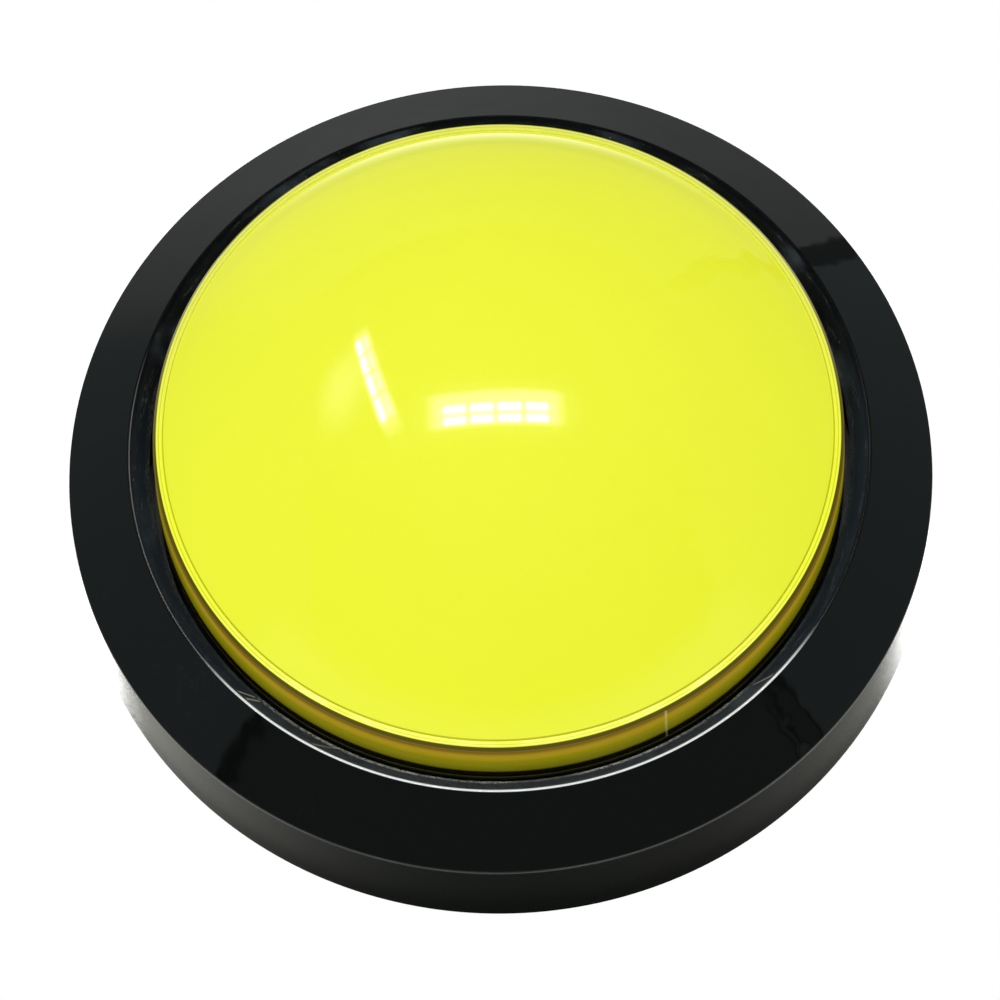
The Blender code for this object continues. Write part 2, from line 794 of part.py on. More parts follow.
def make_terminals(build, material):
    """Three blade terminals of the switch."""
    half = TERMINAL_THICKNESS / 2
    inserted = 0.0045                               # length inside the case
    hole_height = 0.0028                            # above the tip
    for index, name in ((-1, "terminal_common"), (0, "terminal_open"), (1, "terminal_closed")):
        middle = index * TERMINAL_SPACING
        low = (SWITCH_X - half, middle - TERMINAL_HALF_WIDTH, -PANEL_HEIGHT)
        high = (SWITCH_X + half, middle + TERMINAL_HALF_WIDTH, SWITCH_TOP - SWITCH_HEIGHT + inserted)
        blade = build.solid(name, box_mesh(name, low, high), material)
        hole = rod_mesh(name + "_hole", 0.0009, -OVERCUT, OVERCUT, 10)
        build.cut(
            blade, hole, location=(SWITCH_X, middle, -PANEL_HEIGHT + hole_height),
            rotation=(0.0, math.radians(90), 0.0),
        )


def make_actuator(build, material):
    """The switch's own small button, in its pocket."""
    bottom = SWITCH_TOP - 0.0035
    tip_sphere = 0.0022
    tip = arc(tip_sphere, ACTUATOR_TOP - tip_sphere, 0.0, ACTUATOR_RADIUS, 3)
    profile = tip + [(ACTUATOR_RADIUS, bottom), (0.0, bottom)]
    button = build.turned("switch_button", profile, 12, material, closed=False)
    button.location = (SWITCH_X, ACTUATOR_Y, 0.0)


def make_lever(build, lever_material, pin_material):
    """Lever with a rolled eye, on its pin. Both sit on an empty on the pivot axis."""
    pivot = build.empty("lever_axis", (SWITCH_X, LEVER_Y, LEVER_Z), build.panel)
    half = LEVER_WIDTH / 2
    length = LEVER_REACH / math.cos(LEVER_ANGLE)
    blade = box_mesh(
        "switch_lever", (-half, LEVER_EYE * 0.6, -LEVER_THICKNESS / 2),
        (half, length, LEVER_THICKNESS / 2),
    )
    lever = build.solid("switch_lever", blade, lever_material, pivot)
    lever.rotation_euler = (LEVER_ANGLE, 0.0, 0.0)
    eye_half = half - 0.0001
    eye = rod_mesh("lever_eye", LEVER_EYE, -eye_half, eye_half, 12)
    bore = rod_mesh("lever_bore", LEVER_PIN + GAP, -half - OVERCUT, half + OVERCUT, 10)
    lying = (0.0, math.radians(90), 0.0)
    place = (SWITCH_X, LEVER_Y, LEVER_Z)
    build.join(lever, eye, location=place, rotation=lying)
    build.cut(lever, bore, location=place, rotation=lying)
    reach = half + 0.0013                           # past both ears
    pin = build.solid("lever_pin", rod_mesh("lever_pin", LEVER_PIN, -reach, reach, 10),
                      pin_material, pivot)
    pin.rotation_euler = lying


def main():
    """Build every piece of the button."""
    clear_scene()
    build = Builder()
    gloss_black = make_material("gloss_black_plastic", (0.012, 0.012, 0.014), 0.15)
    matte_black = make_material("matte_black_plastic", (0.02, 0.02, 0.022), 0.5)
    yellow = make_material("clear_yellow_plastic", (0.86, 0.90, 0.04), 0.06, transmission=0.8)
    white = make_material("white_diffuser_plastic", (0.9, 0.9, 0.86), 0.45)
    steel = make_material("zinc_plated_steel", (0.62, 0.62, 0.60), 0.35, metallic=1.0)
    spring_steel = make_material("spring_steel", (0.48, 0.48, 0.50), 0.3, metallic=1.0)
    brass = make_material("tinned_brass", (0.72, 0.66, 0.50), 0.3, metallic=1.0)
    holder_white = make_material("holder_plastic", (0.75, 0.74, 0.68), 0.45)
    lens = make_material("frosted_lens", (0.92, 0.93, 0.90), 0.25, transmission=0.6)
    case_black = make_material("switch_plastic", (0.03, 0.03, 0.03), 0.55)
    cover_grey = make_material("switch_cover_plastic", (0.12, 0.12, 0.12), 0.5)
    red = make_material("actuator_plastic", (0.55, 0.03, 0.02), 0.35)

    make_bezel(build, gloss_black)
    make_base(build, matte_black)
    make_base_screws(build, steel)
    make_spring(build, spring_steel)
    make_dome_cap(build, yellow)
    make_diffuser(build, white)
    make_plunger(build, matte_black)
    make_clamp_washer(build, steel)
    make_nut(build, matte_black)
    make_lamp_holder(build, holder_white)
    make_lamp(build, white, lens)
    make_lamp_contacts(build, brass)
    make_switch_case(build, case_black, cover_grey)
    make_switch_screws(build, steel)
    make_terminals(build, brass)
    make_actuator(build, red)
    make_lever(build, spring_steel, steel)
    build.finish()


main()
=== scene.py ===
"""Looks of the illuminated dome push button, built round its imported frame.

Shapes are drawn in millimetres: heights are measured from the panel face, which is the flat underside
of the bezel, and radii from the button's axis. place() turns a finished piece into the frame's metres.
"""

import math

import bmesh
import bpy
import numpy as np
from mathutils import Matrix, Vector


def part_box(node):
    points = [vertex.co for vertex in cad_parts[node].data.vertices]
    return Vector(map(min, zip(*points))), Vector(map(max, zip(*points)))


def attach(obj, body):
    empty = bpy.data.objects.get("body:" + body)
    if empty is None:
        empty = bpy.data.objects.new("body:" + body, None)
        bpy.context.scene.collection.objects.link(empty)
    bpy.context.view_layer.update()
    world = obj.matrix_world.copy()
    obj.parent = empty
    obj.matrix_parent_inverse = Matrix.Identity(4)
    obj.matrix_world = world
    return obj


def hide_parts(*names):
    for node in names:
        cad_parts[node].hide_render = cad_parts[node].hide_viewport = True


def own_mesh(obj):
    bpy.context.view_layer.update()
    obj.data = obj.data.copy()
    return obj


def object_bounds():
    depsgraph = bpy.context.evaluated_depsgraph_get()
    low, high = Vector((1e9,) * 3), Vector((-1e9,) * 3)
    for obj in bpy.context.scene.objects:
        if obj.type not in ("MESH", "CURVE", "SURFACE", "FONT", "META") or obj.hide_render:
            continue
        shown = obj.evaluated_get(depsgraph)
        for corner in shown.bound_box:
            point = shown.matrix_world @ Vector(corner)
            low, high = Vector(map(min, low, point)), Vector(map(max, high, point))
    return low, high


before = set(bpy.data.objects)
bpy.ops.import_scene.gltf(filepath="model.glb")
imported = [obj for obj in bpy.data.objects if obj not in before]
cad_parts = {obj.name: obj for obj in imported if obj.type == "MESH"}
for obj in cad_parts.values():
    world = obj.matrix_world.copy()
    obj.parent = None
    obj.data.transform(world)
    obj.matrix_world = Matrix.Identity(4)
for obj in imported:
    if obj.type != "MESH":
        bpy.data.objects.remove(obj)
CAD_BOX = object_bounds()

MM = 0.001
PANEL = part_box("bezel_ring")[0].z               # the panel face, in the frame's metres
SHARP = math.radians(32.0)                      # faces at a larger angle meet in a sharp edge
LARGE = 256                                     # segments of the largest turned pieces
MEDIUM = 128
SMALL = 48
HOLD = 0.05                                     # how far the extra points stand from an arc


def low_of(node):
    """Lowest corner of a CAD node's box, in millimetres from the panel face."""
    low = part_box(node)[0]
    return Vector((low.x, low.y, low.z - PANEL)) / MM


def high_of(node):
    """Highest corner of a CAD node's box, in millimetres from the panel face."""
    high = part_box(node)[1]
    return Vector((high.x, high.y, high.z - PANEL)) / MM


# bezel
FOOT_RADIUS = high_of("bezel_ring").x
EDGE_RADIUS = FOOT_RADIUS - 0.4
EDGE_HEIGHT = 13.2
CREST_RADIUS = 42.4
CREST_HEIGHT = high_of("bezel_ring").z
WELL_RADIUS = 40.3
WELL_TOP = 16.3
WELL_BOTTOM = 10.1
BEZEL_WALL = 2.1
CONE_SLOPE = (CREST_HEIGHT - EDGE_HEIGHT) / (EDGE_RADIUS - CREST_RADIUS)
BOSS_RADIUS = 2.6
SCREW_CIRCLE = 44.7
SCREW_HOLE = 1.3
SCREW_SEAT = 2.5

# base and stem
PLATE_RADIUS = high_of("base_stem").x
PLATE_TOP = 2.6
STEM_RADIUS = 12.0
STEM_BORE = 9.3
STEM_END = low_of("base_stem").z
THREAD_PITCH = 3.0
THREAD_ROOT = 10.9
THREAD_START = -27.8
THREAD_END = -1.8
THREAD_FOOT = 1.05                              # half width of the ridge at its foot
THREAD_CREST = 0.35
GROOVE_BOTTOM = -33.2
GROOVE_TOP = -30.6
GROOVE_DEPTH = 1.4
POST_CIRCLE = 28.0
POST_RADIUS = 1.5
POST_TOP = 12.0

# dome
DOME_TOP = high_of("dome_cap").z
DOME_RADIUS = 50.2
DOME_CENTER = DOME_TOP - DOME_RADIUS
LEDGE_START = 38.1
LEDGE_END = 38.9
LEDGE_HEIGHT = 23.4
RIM_RADIUS = 39.3
RIM_HEIGHT = 22.8
CAP_WALL = 1.6
SKIRT_RADIUS = high_of("dome_cap").x
SKIRT_BOTTOM = low_of("dome_cap").z
SKIRT_INSIDE = 37.9
DIFFUSER_RADIUS = high_of("diffuser").x
DIFFUSER_BOTTOM = low_of("diffuser").z

# plunger and spring
FLANGE_RADIUS = high_of("plunger").x
FLANGE_BOTTOM = 7.9
FLANGE_TOP = 9.8
SHELF_HEIGHT = 18.3
POCKET_RADIUS = 15.0
POCKET_TOP = 15.9
TUBE_RADIUS = 9.0
TUBE_BORE = 7.2
TUBE_END = low_of("plunger").z
SPRING_RADIUS = 12.9
SPRING_WIRE = 1.0
SPRING_TURNS = 6.5

# lamp holder and switch
COLLAR_RADIUS = 14.6
COLLAR_BORE = 12.4
COLLAR_TOP = -29.5
FLOOR_TOP = -43.6
FLOOR_BOTTOM = -45.6
LAMP_POST_RADIUS = 6.2
LAMP_POST_TOP = -8.0
BRACKET_FACE = 3.2
BRACKET_BOTTOM = -61.5
SWITCH_X = 8.65
SWITCH_LENGTH = high_of("switch_case").y
SWITCH_TOP = -46.0
SWITCH_BOTTOM = low_of("switch_case").z
SWITCH_SCREW_Y = 11.1
SWITCH_SCREW_Z = -59.0
SWITCH_SCREW_HOLE = 1.65
LEVER_AXIS = Vector((SWITCH_X, -11.0, -44.6))
LEVER_ANGLE = math.radians(17.25)
LEVER_REACH = 16.0
TERMINAL_SPACING = 6.4
BUTTON_PLACE = (SWITCH_X, -6.0, 0.0)
SIDES = (-1, 1)


# ---- outlines and shapes, in millimetres ----

def rounded(corners, closed, steps=5):
    """Turn (radius, height, fillet) corners into points, with an arc at each fillet.

    A point close to each end of an arc keeps the shading of the flat faces beside it flat.
    """
    points = []
    count = len(corners)
    for index, (radius, height, fillet) in enumerate(corners):
        here = np.array([radius, height], float)
        is_end = not closed and index in (0, count - 1)
        if fillet <= 0.0 or is_end:
            points.append((radius, height))
            continue
        before = np.array(corners[index - 1][:2], float) - here
        after = np.array(corners[(index + 1) % count][:2], float) - here
        before_length = np.linalg.norm(before)
        after_length = np.linalg.norm(after)
        before /= before_length
        after /= after_length
        half = math.acos(max(-1.0, min(1.0, float(before @ after)))) / 2
        reach = min(fillet / math.tan(half), before_length * 0.49, after_length * 0.49)
        true_fillet = reach * math.tan(half)
        middle = before + after
        center = here + middle / np.linalg.norm(middle) * true_fillet / math.sin(half)
        first = here + before * reach - center
        last = here + after * reach - center
        start = math.atan2(first[1], first[0])
        turn = math.atan2(last[1], last[0]) - start
        turn = (turn + math.pi) % math.tau - math.pi
        hold_before = min(HOLD, (before_length / 2 - reach) / 2)
        hold_after = min(HOLD, (after_length / 2 - reach) / 2)
        if hold_before > HOLD / 4:
            points.append(tuple(map(float, here + before * (reach + hold_before))))
        for step in range(steps + 1):
            angle = start + turn * step / steps
            points.append((
                float(center[0] + true_fillet * math.cos(angle)),
                float(center[1] + true_fillet * math.sin(angle)),
            ))
        if hold_after > HOLD / 4:
            points.append(tuple(map(float, here + after * (reach + hold_after))))
    return points


def sphere_arc(radius, center_height, start_radius, end_radius, steps):
    """Corners along a sphere about a point on the axis, without fillets."""
    first = math.asin(start_radius / radius)
    last = math.asin(end_radius / radius)
    corners = []
    for i in range(steps + 1):
        angle = first + (last - first) * i / steps
        corners.append((radius * math.sin(angle), center_height + radius * math.cos(angle), 0.0))
    return corners


def mesh_object(name, verts, faces):
    """Return a linked object with these vertices."""
    mesh = bpy.data.meshes.new(name)
    mesh.from_pydata([tuple(vert) for vert in verts], [], faces)
    mesh.update()
    piece = bpy.data.objects.new(name, mesh)
    bpy.context.scene.collection.objects.link(piece)
    return piece


def solid(name, work):
    """Turn a bmesh into an object with its faces turned outward."""
    bmesh.ops.recalc_face_normals(work, faces=work.faces)
    piece = mesh_object(name, [], [])
    work.to_mesh(piece.data)
    work.free()
    return piece


def turned(name, points, segments, closed=True):
    """Turn an outline, which runs down its outer side, about the axis."""
    verts = []
    rings = []
    for radius, height in points:
        if radius < 1e-6:
            rings.append([len(verts)])
            verts.append((0.0, 0.0, height))
            continue
        ring = []
        for i in range(segments):
            angle = math.tau * i / segments
            ring.append(len(verts))
            verts.append((radius * math.cos(angle), radius * math.sin(angle), height))
        rings.append(ring)
    pairs = list(zip(rings, rings[1:]))
    if closed:
        pairs.append((rings[-1], rings[0]))
    faces = []
    for upper, lower in pairs:
        for i in range(segments):
            j = (i + 1) % segments
            if len(upper) == 1:
                faces.append((upper[0], lower[i], lower[j]))
            elif len(lower) == 1:
                faces.append((upper[i], lower[0], upper[j]))
            else:
                faces.append((upper[i], lower[i], lower[j], upper[j]))
    return mesh_object(name, verts, faces)


def lathe(name, corners, segments=SMALL, steps=5, closed=False):
    """Turn corners with fillets about the axis."""
    return turned(name, rounded(corners, closed, steps), segments, closed)


def rod(radius, bottom, top, fillet=0.0, name="tool"):
    """Upright cylinder with rounded rims."""
    corners = [(0.0, top, 0.0), (radius, top, fillet), (radius, bottom, fillet), (0.0, bottom, 0.0)]
    return lathe(name, corners, steps=3)


def soften(work, offset, segments):
    """Round every edge of a bmesh."""
    if offset > 0.0:
        bmesh.ops.bevel(work, geom=list(work.edges), offset=offset, segments=segments, profile=0.5,
                        affect="EDGES")


def box(low, high, fillet=0.0, name="tool"):
    """Box between two corners with rounded edges."""
    work = bmesh.new()
    bmesh.ops.create_cube(work, size=1.0)
    for vert in work.verts:
        for axis in range(3):
            middle = (low[axis] + high[axis]) / 2
            vert.co[axis] = middle + vert.co[axis] * (high[axis] - low[axis])
    soften(work, fillet, 3)
    return solid(name, work)


def extruded(name, points, shift, fillet):
    """Flat outline, extruded by a shift."""
    work = bmesh.new()
    face = work.faces.new([work.verts.new(point) for point in points])
    grown = bmesh.ops.extrude_face_region(work, geom=[face])["geom"]
    new_verts = [item for item in grown if isinstance(item, bmesh.types.BMVert)]
    bmesh.ops.translate(work, verts=new_verts, vec=shift)
    soften(work, fillet, 2)
    return solid(name, work)


def plate(name, outline, near, far, fillet):
    """Outline in the YZ plane, extruded along X between near and far."""
    return extruded(name, [(near, y, z) for y, z in outline], (far - near, 0.0, 0.0), fillet)


def sweep(name, sections):
    """Skin over equal rings of points, capped at both ends."""
    size = len(sections[0])
    verts = [point for section in sections for point in section]
    faces = []
    for k in range(len(sections) - 1):
        here = k * size
        there = here + size
        for i in range(size):
            j = (i + 1) % size
            faces.append((here + i, here + j, there + j, there + i))
    faces.append(tuple(range(size)))
    faces.append(tuple(range(len(verts) - size, len(verts))))
    work = bmesh.new()
    made = [work.verts.new(vert) for vert in verts]
    for face in faces:
        work.faces.new([made[i] for i in face])
    return solid(name, work)


def sector(inner, outer, bottom, top, start, end):
    """Rectangle swept round part of a circle."""
    steps = max(4, round(abs(end - start) / math.radians(3)))
    sections = []
    for i in range(steps + 1):
        angle = start + (end - start) * i / steps
        c, s = math.cos(angle), math.sin(angle)
        sections.append([
            (inner * c, inner * s, bottom),
            (outer * c, outer * s, bottom),
            (outer * c, outer * s, top),
            (inner * c, inner * s, top),
        ])
    return sweep("tool", sections)


def ridge(foot_radius, crest_radius, start, end, foot_half, crest_half):
    """Right-handed thread ridge that fades out at both ends."""
    per_turn = 72
    fade = 0.15                                 # turns over which the ridge fades
    turns = (end - start) / THREAD_PITCH
    count = round(turns * per_turn)
    sections = []
    for i in range(count + 1):
        turn = turns * i / count
        grown = max(0.05, min(1.0, turn / fade, (turns - turn) / fade))
        crest = foot_radius + (crest_radius - foot_radius) * grown
        height = start + THREAD_PITCH * turn
        angle = math.tau * turn
        section = []
        for radius, rise in ((foot_radius, -foot_half), (crest, -crest_half),
                             (crest, crest_half), (foot_radius, foot_half)):
            section.append((radius * math.cos(angle), radius * math.sin(angle), height + rise))
        sections.append(section)
    return sweep("tool", sections)


def moved(piece, location=(0.0, 0.0, 0.0), x=0.0, y=0.0, z=0.0):
    """Turn a shape about X, Y and Z in degrees, then move it."""
    turn = Matrix.Identity(4)
    for axis, degrees in (("X", x), ("Y", y), ("Z", z)):
        turn = Matrix.Rotation(math.radians(degrees), 4, axis) @ turn
    piece.data.transform(Matrix.Translation(Vector(location)) @ turn)
    return piece


def combine(piece, operation, *tools):
    """Unite the piece with other shapes, or cut them out, and remove the tools."""
    for tool in tools:
        modifier = piece.modifiers.new(tool.name, "BOOLEAN")
        modifier.operation = operation
        modifier.solver = "MANIFOLD"
        modifier.object = tool
    graph = bpy.context.evaluated_depsgraph_get()
    mesh = bpy.data.meshes.new_from_object(piece.evaluated_get(graph))
    piece.modifiers.clear()
    piece.data = mesh
    for tool in tools:
        bpy.data.objects.remove(tool)
    return piece


def circle_places(radius, count, start):
    """(x, y, degrees) of evenly spaced places on a circle."""
    places = []
    for i in range(count):
        degrees = start + 360.0 * i / count
        angle = math.radians(degrees)
        places.append((radius * math.cos(angle), radius * math.sin(angle), degrees))
    return places


SCREW_PLACES = circle_places(SCREW_CIRCLE, 4, 45.0)
POST_PLACES = circle_places(POST_CIRCLE, 3, 90.0)


def rods(places, radius, bottom, top, fillet=0.0):
    """An upright cylinder at each place."""
    return [moved(rod(radius, bottom, top, fillet), (x, y, 0.0)) for x, y, _ in places]


def place(piece, body, material, node):
    """Move a finished piece to the frame, give it its finish and its body, and hide the CAD node it stands
    in for.
    """
    piece.data.transform(Matrix.Translation((0.0, 0.0, PANEL)) @ Matrix.Scale(MM, 4))
    piece.data.shade_smooth()
    piece.data.set_sharp_from_angle(angle=SHARP)
    piece.data.materials.clear()
    piece.data.materials.append(material)
    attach(piece, body)
    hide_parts(node)


# ---- shader graphs ----

class Graph:
    """Short calls for the shader nodes used here. A value may be a number, a tuple or a socket."""

    def __init__(self, tree):
        self.tree = tree
        self.tree.nodes.clear()

    def add(self, kind, inputs=None, **settings):
        """Add a shader node, set its properties and connect or set its inputs."""
        node = self.tree.nodes.new("ShaderNode" + kind)
        for key, value in settings.items():
            setattr(node, key, value)
        for key, value in (inputs or {}).items():
            self.feed(node.inputs[key], value)
        return node

    def get(self, kind, inputs=None, **settings):
        """Add a shader node and return its first output."""
        return self.add(kind, inputs, **settings).outputs[0]

    def feed(self, socket, value):
        """Connect a socket, or set an input's value."""
        if isinstance(value, bpy.types.NodeSocket):
            self.tree.links.new(value, socket)
        elif isinstance(value, tuple) and len(value) == 3 and socket.type == "RGBA":
            socket.default_value = (*value, 1.0)
        else:
            socket.default_value = value

    def math(self, operation, a, b=0.0, c=0.0, clamp=False):
        """A math node's result."""
        return self.get("Math", {0: a, 1: b, 2: c}, operation=operation, use_clamp=clamp)

    def minus(self, a, b):
        """a - b."""
        return self.math("SUBTRACT", a, b)

    def linear(self, a, b, c, clamp=False):
        """a * b + c."""
        return self.math("MULTIPLY_ADD", a, b, c, clamp)

    def gap(self, a, b):
        """Distance between two values."""
        return self.math("ABSOLUTE", self.minus(a, b))

    def length(self, a, b):
        """Length of the vector (a, b)."""
        return self.math("SQRT", self.linear(b, b, self.math("MULTIPLY", a, a)))

    def product(self, *values):
        """Values multiplied together."""
        result = values[0]
        for value in values[1:]:
            result = self.math("MULTIPLY", result, value)
        return result

    def weighted(self, start, *terms, clamp=False):
        """Start plus the (value, weight) terms."""
        total = start
        for index, (value, weight) in enumerate(terms, start=1):
            total = self.linear(value, weight, total, clamp and index == len(terms))
        return total

    def between(self, value, low, high, start=0.0, end=1.0):
        """Smooth change from start to end as value goes from low to high."""
        inputs = {"Value": value, "From Min": low, "From Max": high, "To Min": start, "To Max": end}
        return self.get("MapRange", inputs, interpolation_type="SMOOTHSTEP")

    def band(self, value, center, half, soft):
        """1 inside a band about center, 0 outside."""
        return self.between(self.gap(value, center), half, half + soft, 1.0, 0.0)

    def mix(self, factor, a, b, blend="MIX"):
        """Mix two colours."""
        node = self.add("Mix", data_type="RGBA", blend_type=blend, clamp_factor=True)
        for index, value in ((0, factor), (6, a), (7, b)):
            self.feed(node.inputs[index], value)
        return node.outputs[2]

    def coats(self, color, *coats):
        """Lay coats over a colour. Each is its masks, which are multiplied, and its colour."""
        for *masks, paint in coats:
            color = self.mix(self.product(*masks), color, paint)
        return color

    def combined(self, red, green, blue):
        """Colour of three values."""
        return self.get("CombineColor", {0: red, 1: green, 2: blue})

    def noise(self, vector, scale, detail=3.0, rough=0.5, distortion=0.0):
        """Noise value about 0.5."""
        inputs = {"Vector": vector, "Scale": scale, "Detail": detail, "Roughness": rough,
                  "Distortion": distortion}
        return self.add("TexNoise", inputs).outputs["Fac"]

    def stretch(self, vector, scale):
        """Scale a vector's components."""
        return self.get("VectorMath", {0: vector, 1: scale}, operation="MULTIPLY")

    def specks(self, vector, cell, size, share):
        """Sparse dots: one in each cell of that many metres, kept for a share of the cells."""
        node = self.add("TexVoronoi", {"Vector": vector, "Scale": 1.0 / cell, "Randomness": 1.0})
        pick = self.add("SeparateColor", {0: node.outputs["Color"]})
        chosen = self.math("LESS_THAN", pick.outputs[0], share)
        reach = self.product(self.linear(pick.outputs[1], 0.8, 0.4), size / cell)
        dot = self.between(node.outputs["Distance"], self.product(reach, 0.6), reach, 1.0, 0.0)
        return self.product(dot, chosen)

    def bump(self, *layers):
        """Bump normal from layers of (height, distance in metres)."""
        normal = None
        for height, distance in layers:
            inputs = {"Height": height, "Distance": distance, "Strength": 1.0}
            if normal is not None:
                inputs["Normal"] = normal
            normal = self.get("Bump", inputs)
        return normal

    def blend(self, factor, first, second):
        """Mix two shaders."""
        return self.get("MixShader", {0: factor, 1: first, 2: second})


class Surface(Graph):
    """A new material's graph, with the piece's own coordinates ready."""

    def __init__(self, name):
        self.material = bpy.data.materials.new(name)
        self.material.use_nodes = True
        super().__init__(self.material.node_tree)
        self.at = self.add("TexCoord").outputs["Object"]
        self.x, self.y, self.z = self.add("SeparateXYZ", {0: self.at}).outputs
        self.height = self.math("DIVIDE", self.minus(self.z, PANEL), MM)
        self.radius = self.math("DIVIDE", self.length(self.x, self.y), MM)
        self.angle = self.math("ARCTAN2", self.y, self.x)
        self.front = self.minus(1.0, self.add("NewGeometry").outputs["Backfacing"])

    def polar(self, angle_scale, radius_scale, height_scale):
        """Coordinates that follow the turning direction, for marks that run round the axis."""
        return self.get("CombineXYZ", {
            0: self.product(self.angle, angle_scale),
            1: self.product(self.radius, radius_scale),
            2: self.product(self.height, height_scale),
        })

    def patches(self, scale, low, high, detail=3.0, rough=0.5):
        """Cloudy patches: noise that rises from 0 to 1 between two levels."""
        return self.between(self.noise(self.at, scale, detail, rough), low, high)

    def hairs(self, vector, width):
        """Thin lines where a noise crosses its middle value."""
        value = self.noise(vector, 1.0, detail=1.0, rough=0.4, distortion=0.3)
        return self.between(self.gap(value, 0.5), 0.0, width, 1.0, 0.0)

    def scratches(self, scale, width):
        """Hair lines in a noise stretched by a scale for each direction."""
        return self.hairs(self.stretch(self.at, scale), width)

    def edges(self, size=0.0003):
        """How strongly a point lies on an edge: softened normal against the true one."""
        bevel = self.get("Bevel", {"Radius": size}, samples=3)
        true = self.add("NewGeometry").outputs["Normal"]
        dot = self.add("VectorMath", {0: bevel, 1: true}, operation="DOT_PRODUCT")
        return self.between(dot.outputs["Value"], 0.97, 0.80, 0.0, 1.0)

    def principled(self, **inputs):
        """The finished material of a Principled shader. Underscores in the names are spaces."""
        named = {key.replace("_", " "): value for key, value in inputs.items()}
        return self.finish(self.get("BsdfPrincipled", named))

    def finish(self, shader):
        """Connect the output and return the material."""
        self.add("OutputMaterial", {"Surface": shader})
        return self.material


# ---- materials ----

WHITE = (1.0, 1.0, 1.0)
# bluish white of the painted highlight on the bezel's crest
CREST_HIGHLIGHT_WHITE = (0.76, 0.78, 0.90)


